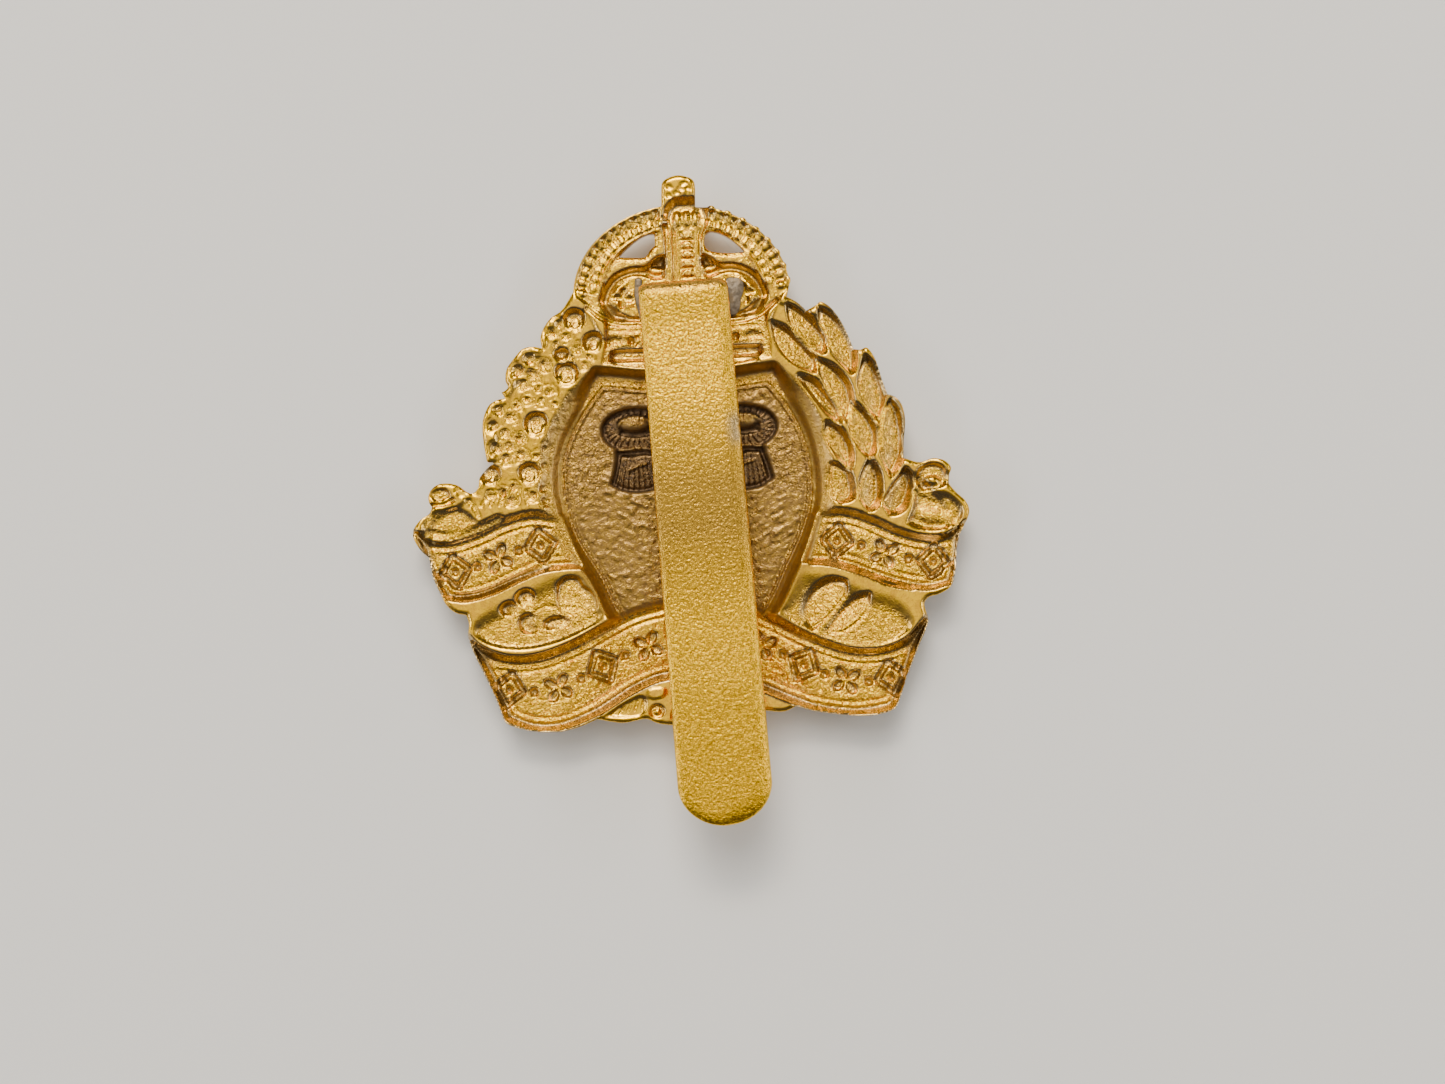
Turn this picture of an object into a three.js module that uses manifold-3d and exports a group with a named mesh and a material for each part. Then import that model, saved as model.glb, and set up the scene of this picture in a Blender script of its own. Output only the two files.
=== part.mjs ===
// A die-struck cap badge lying face down: one sheet of gilding metal struck in relief, with a cranked
// slider soldered to the back of its crown. Millimetres. +Z is the badge's back, +Y its crown, and +X
// its right as seen from the back. The design is drawn round the crown's centre line; the last lines
// move it so that the origin is at the middle of the underside of its box.
import * as THREE from "three";
import { mergeVertices } from "three/addons/utils/BufferGeometryUtils.js";
import Module from "manifold-3d";

const wasm = await Module();
wasm.setup();

// The sheet and its levels. A level is the height of the sheet's back; the front is one SHEET below it.
const SHEET = 0.95;
const WALL = 0.35; // how far a deep zone's front stands out round its hollow
const THIN_WALL = 0.05; // the same round a shallow detail
const LEVEL = {
  flange: 3.5,
  wreath: 3.25,
  leaf: 2.75,
  acorn: 2.45,
  lobe: 3.1,
  crown: 3.1,
  pearl: 2.4,
  circlet: 2.5,
  upperScroll: 2.5,
  lowerScroll: 2.1,
  shieldRim: 1.4,
  shield: 1.7,
  sheaf: SHEET, // the sheaves' fronts are what the badge lies on
};
const ORNAMENT_DEPTH = 0.35;
const ABOVE = LEVEL.flange + 1;
const CURVE_STEPS = 1; // chords between two points of a smooth outline

// The crown.
const CROWN = { y: 12.9, halfWidth: 8.65, height: 7.1 };
const ARCH_INNER = { halfWidth: 6.5, height: 5.1 };
const PEARLS_PER_ARCH = 8;
const PEARL = 0.5; // its radius
const CROWN_BANDS = [
  { halfWidth: 6.1, low: 9.1, high: 10.4 },
  { halfWidth: 5.9, low: 7.7, high: 8.6 },
];

// The slider.
const STRIP = {
  topX: 0.14,
  topY: 13.75,
  length: 43.05,
  tilt: THREE.MathUtils.degToRad(2.33),
  splay: THREE.MathUtils.degToRad(1.4),
  topWidth: 7.0,
  endWidth: 7.45,
  endRounding: 3.3,
  thickness: 0.9,
  foot: 3.2,
  standOff: 2.1, // from the crown's back to the strip's inner face, at the bend
  outerBend: 1.0,
  innerBend: 0.2,
};
const SOLDER_FILM = 0.12;
const SOLDER_FILLET = 0.55;
const SOLDER_GAP = 0.04;

const gilding = new THREE.MeshStandardMaterial({ color: 0xb98a3c, roughness: 0.42, metalness: 1 });
const stripBrass = new THREE.MeshStandardMaterial({ color: 0xb79b3e, roughness: 0.34, metalness: 1 });
const solder = new THREE.MeshStandardMaterial({ color: 0x8d8a84, roughness: 0.6, metalness: 0.9 });

// ---- drawing helpers ----

const point = ([x, y]) => new THREE.Vector2(x, y);

// A closed outline from several stretches of points. Each stretch is one smooth curve that starts
// where the last one ended and passes through its points, so corners lie only between stretches.
function outline(start, ...stretches) {
  const path = new THREE.Path();
  path.moveTo(start[0], start[1]);
  stretches.forEach((stretch) => {
    if (stretch.length === 1) path.lineTo(stretch[0][0], stretch[0][1]);
    else path.splineThru(stretch.map(point));
  });
  const points = path.getPoints(CURVE_STEPS);
  const distinct = points.filter((p, i) => p.distanceTo(points[(i + 1) % points.length]) > 0.02);
  return THREE.ShapeUtils.isClockWise(distinct) ? distinct.reverse() : distinct;
}

// The outline moved outwards by a distance, or inwards by a negative one.
function grow(points, distance) {
  return points.map((p, i) => {
    const before = points[(i + points.length - 1) % points.length];
    const after = points[(i + 1) % points.length];
    const a = p.clone().sub(before).normalize();
    const b = after.clone().sub(p).normalize();
    const out = new THREE.Vector2(a.y + b.y, -a.x - b.x).normalize();
    const stretch = Math.min(1.4, 1 / Math.max(0.3, out.dot(new THREE.Vector2(a.y, -a.x))));
    return p.clone().addScaledVector(out, distance * stretch);
  });
}

// Each shape below is a function of how much larger it is drawn all round.
const grown = (points) => (extra = 0) => grow(points, extra);

const ellipse = (x, y, halfWidth, halfHeight, turn = 0, sides = 10) => (extra = 0) => {
  const points = [];
  for (let i = 0; i < sides; i += 1) {
    const angle = (2 * Math.PI * (i + 0.5)) / sides;
    const p = new THREE.Vector2((halfWidth + extra) * Math.cos(angle), (halfHeight + extra) * Math.sin(angle));
    points.push(p.rotateAround(new THREE.Vector2(), turn).add(new THREE.Vector2(x, y)));
  }
  return points;
};

// A pointed oval from its tip to its root: a laurel leaf.
const leaf = ([tipX, tipY], [rootX, rootY], width) => (extra = 0) => {
  const tip = new THREE.Vector2(tipX, tipY);
  const along = new THREE.Vector2(rootX, rootY).sub(tip);
  const lengthen = extra / along.length();
  const across = new THREE.Vector2(-along.y, along.x).normalize().multiplyScalar(width / 2 + extra);
  const at = (t, side) =>
    tip.clone().addScaledVector(along, t + (2 * t - 1) * lengthen).addScaledVector(across, side);
  return [
    at(0, 0), at(0.18, 0.62), at(0.45, 1), at(0.75, 0.86), at(0.95, 0.4),
    at(0.95, -0.4), at(0.75, -0.86), at(0.45, -1), at(0.18, -0.62),
  ];
};

const box = (x0, y0, x1, y1) =>
  grown([[x0, y0], [x1, y0], [x1, y1], [x0, y1]].map(point));

// ---- solids ----

function solidOf(geometry) {
  geometry.deleteAttribute("normal");
  geometry.deleteAttribute("uv");
  const merged = mergeVertices(geometry, 1e-4);
  return new wasm.Manifold(
    new wasm.Mesh({
      numProp: 3,
      vertProperties: new Float32Array(merged.attributes.position.array),
      triVerts: new Uint32Array(merged.index.array),
    }),
  );
}

function prism(points, low, high) {
  const geometry = new THREE.ExtrudeGeometry(new THREE.Shape(points), {
    depth: high - low,
    bevelEnabled: false,
  });
  geometry.translate(0, 0, low);
  return solidOf(geometry);
}

const join = (solids) => solids.reduce((sum, solid) => sum.add(solid));

function meshOf(name, solid, material) {
  const { vertProperties, triVerts } = solid.getMesh();
  const geometry = new THREE.BufferGeometry();
  geometry.setAttribute("position", new THREE.BufferAttribute(vertProperties, 3));
  geometry.setIndex(new THREE.BufferAttribute(triVerts, 1));
  geometry.computeVertexNormals();
  const mesh = new THREE.Mesh(geometry, material);
  mesh.name = name;
  return mesh;
}

// ---- outlines of the struck zones ----

const shieldOutline = outline(
  [-7.1, 6.7],
  [[-3.5, 6.35], [0, 6.2], [3.5, 6.25], [7.0, 6.5]],
  [[8.9, 4.0], [10.1, 1.3], [10.6, -1.5], [10.4, -4.2], [9.3, -7.0], [7.8, -9.6], [6.0, -13.0]],
  [[-6.2, -12.9]],
  [[-8.2, -9.8], [-9.9, -6.6], [-10.9, -3.6], [-11.1, -1.2], [-10.6, 1.3], [-9.1, 4.2], [-7.1, 6.7]],
);

const lowerScrollOutline = outline(
  [-18.0, -14.0],
  [
    [-15.2, -15.7], [-12.8, -15.7], [-10.2, -14.9], [-7.5, -13.6], [-4.5, -12.3], [0, -11.6],
    [3.5, -12.2], [6.2, -13.4], [9, -14.9], [12, -16.1], [14.5, -16.2], [18.2, -14.2],
  ],
  [[17.2, -16.8], [15.6, -20.6]],
  [
    [12.5, -21.1], [9.5, -20.7], [7.0, -19.8], [5.0, -18.9], [2.5, -18.1], [0, -17.8],
    [-2.8, -17.8], [-5.2, -18.6], [-8.2, -20.2], [-11, -21.1], [-13.5, -21.2], [-15.4, -20.4],
  ],
  [[-16.6, -17.6], [-18.0, -14.0]],
);

const upperScrollOutlines = [
  outline(
    [-10.3, -4.8],
    [[-12.8, -4.3], [-15, -4.7], [-17.2, -5.6], [-19.2, -6.2], [-21.7, -5.7]],
    [[-20.9, -7.4], [-20.4, -9.0], [-19.9, -10.4]],
    [[-18.2, -10.7], [-16, -10.2], [-13.8, -9.2], [-11.5, -8.5], [-8.9, -8.4]],
  ),
  outline(
    [10.1, -5.1],
    [[12.4, -5.2], [14.4, -5.9], [16.4, -6.9], [18.4, -7.5], [21.5, -6.8]],
    [[21.0, -7.6], [20.8, -9.0], [20.4, -10.9]],
    [[18.8, -11.4], [16.8, -11.1], [14.8, -10.4], [12.4, -9.4], [8.9, -9.0]],
  ),
];

const lobeOutlines = [
  outline(
    [-7.1, -12.7],
    [[-9, -13.7], [-11.5, -14.6], [-14, -14.9], [-16.4, -14.5], [-17.6, -13.3]],
    [[-16.8, -11.9], [-14.8, -11.0], [-12.4, -9.9], [-10, -9.2], [-8.4, -9.4]],
  ),
  outline(
    [6.4, -13.0],
    [[8, -14], [10.2, -15.2], [12.8, -16.0], [15, -15.9], [16.9, -15.0], [17.5, -13.9]],
    [[17.0, -12.7], [15.5, -11.9], [13.2, -11.1], [11, -10.2], [8.4, -9.9]],
  ),
];

// The scrolls' upper ends are rolled into curls.
const curlHollows = [
  ellipse(-20.0, -2.4, 0.6, 0.5), ellipse(-19.4, -4.6, 1.7, 0.75, 0.12),
  ellipse(19.4, -2.5, 1.0, 0.8, -0.4), ellipse(19.7, -5.4, 1.7, 0.95, -0.35),
];

// The stems of the wreath: the sheet between the leaves and the shield.
const wreathStems = [
  outline(
    [-7.6, 11.0],
    [[-6.9, 8.6], [-9.2, 4.8], [-10.7, 1.6], [-11.2, -1.2], [-10.7, -4.4]],
    [[-13, -4.2], [-15, -4.5], [-17.0, -5.2]],
    [[-16.4, -2.9], [-14.9, -0.6], [-14.1, 2.5], [-12.7, 5.4], [-10.9, 8.4], [-9.6, 10.6]],
  ),
  outline(
    [7.7, 10.8],
    [[6.9, 8.4], [8.9, 4.8], [10.2, 1.6], [10.7, -1.2], [10.4, -4.9]],
    [[12.4, -5.0], [14.4, -5.7], [16.4, -6.6]],
    [[17.0, -4.2], [16.6, -1.2], [16.0, 2.5], [14.4, 6.4], [12.2, 9.8], [10.2, 10.6]],
  ),
];

const laurelLeaves = [
  leaf([7.3, 10.1], [10.1, 6.4], 1.5), leaf([8.6, 11.2], [10.9, 7.7], 1.7),
  leaf([11.1, 11.3], [13.1, 6.6], 2.0), leaf([9.2, 5.9], [11.5, 2.2], 1.1),
  leaf([10.7, 7.1], [12.6, 2.1], 2.0), leaf([14.4, 7.3], [15.0, 2.4], 2.0),
  leaf([11.3, 1.8], [12.5, -1.2], 1.5), leaf([13.2, 3.7], [14.5, -0.8], 1.9),
  leaf([16.4, 3.8], [16.2, -2.3], 1.8), leaf([12.0, -1.5], [12.1, -4.5], 1.6),
  leaf([14.4, -1.3], [14.3, -5.0], 1.7), leaf([17.4, -2.1], [16.0, -5.4], 1.7),
];

// Oak leaves are clusters of round lobes, with acorns on them: [x, y, radius].
const oakLobes = [
  [-10.2, 10.5, 1.0], [-8.4, 8.7, 0.9], [-12.4, 8.1, 0.95], [-13.4, 6.8, 0.9], [-11.3, 6.2, 0.8],
  [-10.9, 4.5, 0.8], [-14.9, 4.0, 1.1], [-15.2, 1.8, 1.0], [-13.4, 3.9, 0.7], [-13.3, 0.9, 1.0],
  [-15.3, -2.7, 1.0], [-12.6, -3.0, 0.9],
];
const acorns = [
  [-8.8, 11.2, 0.7], [-7.1, 9.4, 0.6], [-9.6, 6.8, 0.75], [-12.0, 2.8, 0.8], [-15.9, -1.1, 0.6],
  [-12.9, -1.1, 0.7],
];

// A sheaf: a round head of ears, and a skirt of stalks that spreads below its band.
const SHEAVES = [[-4.25, 0.7], [4.4, 0.7], [0.2, -7.6]];
const sheafHead = ([x, y]) => ellipse(x, y + 1.65, 2.7, 1.8, 0, 14);
const sheafSkirt = ([x, y]) =>
  grown(
    outline(
      [x - 1.5, y + 0.1],
      [[x - 1.85, y - 1.4], [x - 2.3, y - 2.8]],
      [[x - 1.2, y - 3.3], [x + 1.2, y - 3.3], [x + 2.3, y - 2.8]],
      [[x + 1.85, y - 1.4], [x + 1.5, y + 0.1]],
    ),
  );

// A stretch of the crown's outer edge, from one angle to another round its middle.
function crownArc(fromDegrees, toDegrees, steps) {
  const points = [];
  for (let i = 0; i <= steps; i += 1) {
    const angle = THREE.MathUtils.degToRad(fromDegrees + ((toDegrees - fromDegrees) * i) / steps);
    points.push([CROWN.halfWidth * Math.cos(angle), CROWN.y + CROWN.height * Math.sin(angle)]);
  }
  return points;
}

// The edge of the whole stamping, anticlockwise from the middle of its foot.
const edgeOutline = outline(
  [0, -21.6],
  [[2.4, -21.3], [5.2, -20.65]],
  [[6.7, -20.8], [7.7, -20.4]],
  [[9.5, -20.95], [12.5, -21.4], [14.3, -21.35], [15.5, -21.0], [15.95, -20.4]],
  [[16.8, -18.2], [18.3, -14.8], [18.6, -13.9]],
  [[18.3, -12.6], [19.5, -11.95], [20.35, -11.5], [20.7, -11.0]],
  [[20.95, -9.8], [21.1, -8.5], [21.35, -7.3]],
  [[21.9, -6.3], [22.2, -5.4], [21.9, -4.6], [21.2, -3.9], [20.65, -3.2]],
  [[20.9, -2.0], [20.2, -1.25], [19.4, -1.15], [18.4, -1.4], [17.15, -1.0]],
  [[17.25, 0.5], [17.4, 2.0], [17.2, 3.2], [16.1, 4.15]],
  [[15.7, 5.4], [15.3, 6.8], [14.55, 7.95], [13.55, 7.9]],
  [[13.1, 9.2], [12.5, 10.4], [11.8, 11.3], [11.1, 11.75], [9.9, 11.1]],
  [[9.3, 11.7], [8.35, 12.3]],
  crownArc(4, 81, 11),
  [[1.42, 21.2]],
  [[1.1, 22.0], [0.1, 22.35], [-0.9, 22.05], [-1.25, 21.2]],
  [[-1.3, 19.9]],
  crownArc(99, 176, 11),
  [[-9.6, 12.0], [-10.5, 11.4], [-11.15, 10.6], [-11.4, 9.8], [-11.3, 9.0]],
  [[-12.1, 9.15], [-12.9, 9.0], [-14.2, 7.5], [-14.35, 6.6], [-14.7, 5.6]],
  [[-15.0, 5.05], [-16.15, 3.9], [-16.35, 3.0], [-16.3, 1.6], [-16.1, 0.15]],
  [[-15.5, 0.05]],
  [[-16.2, -0.4], [-16.75, -1.1], [-16.9, -1.9], [-17.4, -2.35], [-18.6, -1.65], [-19.4, -1.45]],
  [[-20.2, -1.55], [-20.8, -2.1], [-20.65, -3.3]],
  [[-21.7, -4.35], [-22.25, -5.1], [-22.2, -5.8], [-21.15, -7.3]],
  [[-20.85, -8.8], [-20.3, -10.2], [-19.8, -11.2], [-19.1, -11.8], [-18.3, -12.0]],
  [[-18.1, -12.8], [-18.3, -13.8]],
  [[-17.7, -15.4], [-16.9, -17.2], [-15.75, -20.3]],
  [[-15.3, -20.9], [-13.5, -21.5], [-11.5, -21.65], [-9.8, -21.35], [-8.2, -20.75]],
  [[-6.2, -21.15], [-4.4, -20.9], [-2.2, -21.5], [0, -21.6]],
);

// The crown's hollow, and the two voids pierced between its arches.
const crownHollow = outline(
  [8.1, 13.0],
  [[7.2, 16.0], [4.9, 18.3], [2.2, 19.3], [0, 19.5], [-2.2, 19.3], [-4.9, 18.3], [-7.2, 16.0], [-8.1, 13.0]],
  [[-6.4, 11.2], [-6.4, 7.4]],
  [[6.6, 7.4]],
  [[6.6, 11.0], [8.1, 13.0]],
);
const crownVoids = [
  outline(
    [-5.0, 16.05],
    [[-3.9, 15.95], [-2.8, 16.0], [-2.05, 16.8], [-2.0, 17.8]],
    [[-2.6, 17.75], [-3.5, 17.3], [-4.4, 16.6], [-5.0, 16.05]],
  ),
  outline(
    [5.25, 16.05],
    [[4.1, 15.95], [2.9, 16.05], [2.0, 16.8], [2.1, 17.75]],
    [[2.8, 17.75], [3.7, 17.3], [4.6, 16.6], [5.25, 16.05]],
  ),
];

// Where the slider's axis is at a height y, and the sheet point a given way along and across it.
function onStrip(along, across) {
  const down = new THREE.Vector2(Math.sin(STRIP.tilt), -Math.cos(STRIP.tilt));
  return new THREE.Vector2(STRIP.topX, STRIP.topY)
    .addScaledVector(down, along)
    .add(new THREE.Vector2(-down.y, down.x).multiplyScalar(across));
}

// ---- the struck plate ----

// A zone is struck down to a level: its hollow is cut from the back, and its front stands out below.
const zones = [];
const zone = (shape, level, wall = WALL) => zones.push({ shape, level, wall });
const detail = (shape, level) => zone(shape, level, THIN_WALL);

function addWreath() {
  wreathStems.forEach((stem) => zone(grown(stem), LEVEL.wreath));
  laurelLeaves.forEach((shape) => detail(shape, LEVEL.leaf));
  oakLobes.forEach(([x, y, radius]) => detail(ellipse(x, y, radius, radius, 0.3, 8), LEVEL.leaf));
  acorns.forEach(([x, y, radius]) => detail(ellipse(x, y, radius, radius, 0, 8), LEVEL.acorn));
}

function addScrolls() {
  lobeOutlines.forEach((points) => zone(grown(points), LEVEL.lobe));
  curlHollows.forEach((shape) => detail(shape, LEVEL.lobe));
  upperScrollOutlines.forEach((points) => zone(grown(points), LEVEL.upperScroll));
  zone(grown(lowerScrollOutline), LEVEL.lowerScroll);
}

// Plain lozenges and pellets by turns along a scroll's middle line.
function addOrnament(middle, count, level) {
  const curve = new THREE.SplineCurve(middle.map(point));
  for (let i = 0; i < count; i += 1) {
    const t = (i + 0.5) / count;
    const { x, y } = curve.getPointAt(t);
    const tangent = curve.getTangentAt(t);
    const turn = Math.atan2(tangent.y, tangent.x);
    const pellet = ellipse(x, y, 0.55, 0.55, turn, 8);
    const lozenge = ellipse(x, y, 1.2, 1.2, turn + Math.PI / 4, 4);
    detail(i % 2 ? pellet : lozenge, level - ORNAMENT_DEPTH);
  }
}

function addPearls() {
  const halfWidth = (CROWN.halfWidth + ARCH_INNER.halfWidth) / 2;
  const height = (CROWN.height + ARCH_INNER.height) / 2;
  for (const side of [-1, 1]) {
    for (let i = 0; i < PEARLS_PER_ARCH; i += 1) {
      const angle = THREE.MathUtils.degToRad(10 + (64 * i) / (PEARLS_PER_ARCH - 1));
      const x = side * halfWidth * Math.cos(angle);
      detail(ellipse(x, CROWN.y + height * Math.sin(angle), PEARL, PEARL, 0, 6), LEVEL.pearl);
    }
  }
}

function addCrown() {
  zone(grown(crownHollow), LEVEL.crown);
  addPearls();
  [-5.3, 5.6].forEach((x) => {
    detail(ellipse(x, 12.7, 0.5, 1.3, 0, 8), LEVEL.circlet);
    detail(ellipse(x, 12.7, 1.3, 0.5, 0, 8), LEVEL.circlet);
  });
  CROWN_BANDS.forEach(({ halfWidth, low, high }) => {
    detail(box(-halfWidth, low, halfWidth, high), LEVEL.circlet);
  });
}

const sheafShapes = SHEAVES.flatMap((place) => [sheafHead(place), sheafSkirt(place)]);

function addShield() {
  zone(grown(grow(shieldOutline, -0.1)), LEVEL.shieldRim);
  sheafShapes.forEach((shape) => zone(shape, LEVEL.sheaf));
}

const allOf = (shapes, low, high) => join(shapes.map((shape) => prism(shape(), low, high)));

function badgePlate() {
  addWreath();
  addScrolls();
  addOrnament([[-12.2, -6.5], [-14.6, -7.0], [-17, -7.9], [-19.4, -8.4]], 4, LEVEL.upperScroll);
  addOrnament([[11.6, -7.2], [14, -7.9], [16.4, -8.9], [19.2, -9.4]], 4, LEVEL.upperScroll);
  addOrnament([[-14.9, -17.9], [-12, -18.2], [-9, -17.4], [-6, -16.0], [-3.6, -15.1]], 6, LEVEL.lowerScroll);
  addOrnament([[5.0, -15.6], [8, -17.2], [11, -18.5], [14.6, -18.5]], 5, LEVEL.lowerScroll);
  addCrown();
  addShield();

  const fronts = join(
    zones.map(({ shape, level, wall }) => prism(shape(wall), level - SHEET, LEVEL.flange)),
  );
  const hollows = join(zones.map(({ shape, level }) => prism(shape(), level, ABOVE)));
  const field = prism(grow(shieldOutline, -0.9), LEVEL.shieldRim - 0.1, LEVEL.shield);
  return prism(edgeOutline, LEVEL.flange - SHEET, LEVEL.flange)
    .add(fronts.intersect(prism(edgeOutline, -1, ABOVE)))
    .subtract(hollows)
    .add(field)
    .subtract(allOf(sheafShapes, LEVEL.sheaf, ABOVE))
    .subtract(allOf(crownVoids.map(grown), -1, ABOVE));
}

// ---- the slider and its joint ----

const FOOT_LOW = LEVEL.crown + SOLDER_FILM;
const STRIP_INNER = LEVEL.crown + STRIP.standOff;

// The strip seen edge on: along it, and up.
function stripProfile() {
  const { thickness, outerBend, innerBend, foot, length } = STRIP;
  const outer = STRIP_INNER + thickness;
  const inside = thickness + innerBend;
  const riseAfter = (along) => (length - along) * Math.tan(STRIP.splay);
  const shape = new THREE.Shape();
  shape.moveTo(foot, FOOT_LOW);
  shape.lineTo(foot, FOOT_LOW + thickness);
  shape.lineTo(inside, FOOT_LOW + thickness);
  shape.absarc(inside, FOOT_LOW + inside, innerBend, -Math.PI / 2, -Math.PI, true);
  shape.lineTo(thickness, STRIP_INNER - innerBend);
  shape.absarc(inside, STRIP_INNER - innerBend, innerBend, Math.PI, Math.PI / 2, true);
  shape.lineTo(length, STRIP_INNER + riseAfter(inside));
  shape.lineTo(length, outer + riseAfter(outerBend));
  shape.lineTo(outerBend, outer);
  shape.absarc(outerBend, outer - outerBend, outerBend, Math.PI / 2, Math.PI, false);
  shape.lineTo(0, FOOT_LOW + thickness);
  shape.absarc(thickness, FOOT_LOW + thickness, thickness, Math.PI, 1.5 * Math.PI, false);
  return shape.getPoints(4);
}

// The strip seen from the back: slightly wider towards its free end, which is rounded.
function stripPlan(extra = 0) {
  const half = (along) => {
    const t = along / STRIP.length;
    return (STRIP.topWidth * (1 - t) + STRIP.endWidth * t) / 2 + extra;
  };
  const straight = STRIP.length - STRIP.endRounding;
  const points = [onStrip(-extra, -half(0)), onStrip(straight, -half(straight))];
  for (let i = 1; i < 12; i += 1) {
    const angle = (Math.PI * i) / 12;
    points.push(
      onStrip(straight + STRIP.endRounding * Math.sin(angle), -half(straight) * Math.cos(angle)),
    );
  }
  points.push(onStrip(straight, half(straight)), onStrip(-extra, half(0)));
  return THREE.ShapeUtils.isClockWise(points) ? points.reverse() : points;
}

function slider() {
  const across = 2 * STRIP.endWidth;
  const geometry = new THREE.ExtrudeGeometry(new THREE.Shape(stripProfile()), {
    depth: across,
    bevelEnabled: false,
  });
  // The profile's x runs down the strip, its y is height, and its depth goes across.
  geometry.translate(0, 0, -across / 2);
  geometry.rotateX(Math.PI / 2);
  geometry.rotateZ(STRIP.tilt - Math.PI / 2);
  geometry.translate(STRIP.topX, STRIP.topY, 0);
  return solidOf(geometry).intersect(prism(stripPlan(), 0, 3 * ABOVE));
}

function solderJoint() {
  const film = outline(
    [-3.6, 13.9],
    [
      [-3.5, 12.4], [-3.1, 10.9], [0, 10.7], [3.2, 10.8], [4.7, 11.2], [5.0, 12.6], [4.6, 13.9],
      [3.0, 14.1], [0, 14.0],
    ],
  );
  const fillet = grow(film, -0.25);
  return prism(film, LEVEL.crown, FOOT_LOW).add(
    prism(fillet, FOOT_LOW - SOLDER_FILM / 2, FOOT_LOW + SOLDER_FILLET - SOLDER_FILM).subtract(
      prism(stripPlan(SOLDER_GAP), FOOT_LOW, ABOVE),
    ),
  );
}

// ---- the assembly ----

const badge = new THREE.Group();
badge.add(
  meshOf("badge_plate", badgePlate(), gilding),
  meshOf("slider", slider(), stripBrass),
  meshOf("solder_joint", solderJoint(), solder),
);

const bounds = new THREE.Box3().setFromObject(badge);
const middle = bounds.getCenter(new THREE.Vector3());
badge.position.set(-middle.x, -middle.y, -bounds.min.z);

export default badge;
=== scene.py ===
"""The looks of a die-struck cap badge, lying face down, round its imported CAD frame.

The plate is one sheet struck in relief. Its shape is a height field in millimetres, drawn round the
crown's centre line with brushes: a basin sinks a whole zone, a stroke cuts a line, a cup sinks a spot.
The slider is a flat blank with rounded edges, bent along its path. Lengths are millimetres until a
mesh is made."""

import math

import bpy
import numpy as np
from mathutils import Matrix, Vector


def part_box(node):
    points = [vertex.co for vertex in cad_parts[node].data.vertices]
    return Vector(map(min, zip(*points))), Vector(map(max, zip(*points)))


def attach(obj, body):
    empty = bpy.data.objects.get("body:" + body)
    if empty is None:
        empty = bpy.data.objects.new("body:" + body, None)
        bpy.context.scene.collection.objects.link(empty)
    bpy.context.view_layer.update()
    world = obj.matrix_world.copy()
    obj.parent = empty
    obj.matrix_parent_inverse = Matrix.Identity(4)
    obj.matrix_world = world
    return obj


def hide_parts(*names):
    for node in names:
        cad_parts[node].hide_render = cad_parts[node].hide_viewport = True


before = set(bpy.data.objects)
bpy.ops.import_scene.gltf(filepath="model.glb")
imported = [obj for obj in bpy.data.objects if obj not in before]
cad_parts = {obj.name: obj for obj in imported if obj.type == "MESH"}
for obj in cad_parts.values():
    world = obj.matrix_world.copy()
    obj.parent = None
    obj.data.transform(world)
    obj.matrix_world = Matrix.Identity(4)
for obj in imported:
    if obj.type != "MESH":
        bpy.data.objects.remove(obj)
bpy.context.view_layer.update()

MM = 0.001  # one millimetre in metres
SHEET = 0.95  # thickness of the stamping
FLANGE = 3.5  # height of the stamping's outer edge above the surface that it lies on
BORDER = 0.12  # depth of the border that no zone reaches
STEP = 0.12  # spacing of the height field

# ---------------------------------------------------------------- curves and outlines


def smooth_curve(points, steps=6):
    """A Catmull-Rom curve through the points."""
    p = np.array(points, float)
    if len(p) == 2:
        return p
    p = np.vstack([p[:1], p, p[-1:]])
    t = np.linspace(0, 1, steps, endpoint=False)[:, None]
    parts = []
    for a, b, c, d in zip(p[:-3], p[1:-2], p[2:-1], p[3:]):
        m0, m1 = (c - a) / 2, (d - b) / 2
        parts.append(
            (2 * t**3 - 3 * t**2 + 1) * b
            + (t**3 - 2 * t**2 + t) * m0
            + (3 * t**2 - 2 * t**3) * c
            + (t**3 - t**2) * m1
        )
    return np.vstack(parts + [p[-1:]])


def outline(start, *stretches):
    """A closed outline. Each stretch is one smooth curve from where the last one ended."""
    path = [np.array([start], float)]
    for stretch in stretches:
        path.append(smooth_curve([tuple(path[-1][-1])] + list(stretch))[1:])
    points = np.vstack(path)
    if np.hypot(*(points[0] - points[-1])) < 1e-6:
        points = points[:-1]
    return points


def ellipse_points(x, y, half_width, half_height, start=0, end=360, count=40):
    angle = np.radians(np.linspace(start, end, count, endpoint=end - start < 360))
    return np.column_stack([x + half_width * np.cos(angle), y + half_height * np.sin(angle)])


def along(points, count):
    """Evenly spaced places on a smooth curve, each with the curve's direction there in radians."""
    line = smooth_curve(points, 20)
    length = np.concatenate([[0], np.cumsum(np.hypot(*np.diff(line, axis=0).T))])
    at = lambda s: np.array([np.interp(s, length, line[:, k]) for k in (0, 1)])
    places = []
    for i in range(count):
        s = length[-1] * (i + 0.5) / count
        ahead = at(s + 0.1) - at(s - 0.1)
        places.append((*at(s), math.atan2(ahead[1], ahead[0])))
    return places


# ---------------------------------------------------------------- the height field

xs = np.arange(-23.2, 23.2, STEP)
ys = np.arange(-22.6, 23.4, STEP)
X, Y = np.meshgrid(xs, ys)


def window(low, high):
    """The part of the field between two corners."""
    i0, i1 = np.searchsorted(ys, [low[1], high[1]])
    j0, j1 = np.searchsorted(xs, [low[0], high[0]])
    return slice(i0, i1), slice(j0, j1)


def ease(t):
    """A smooth step from 0 to 1."""
    t = np.clip(t, 0, 1)
    return t * t * (3 - 2 * t)


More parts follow.
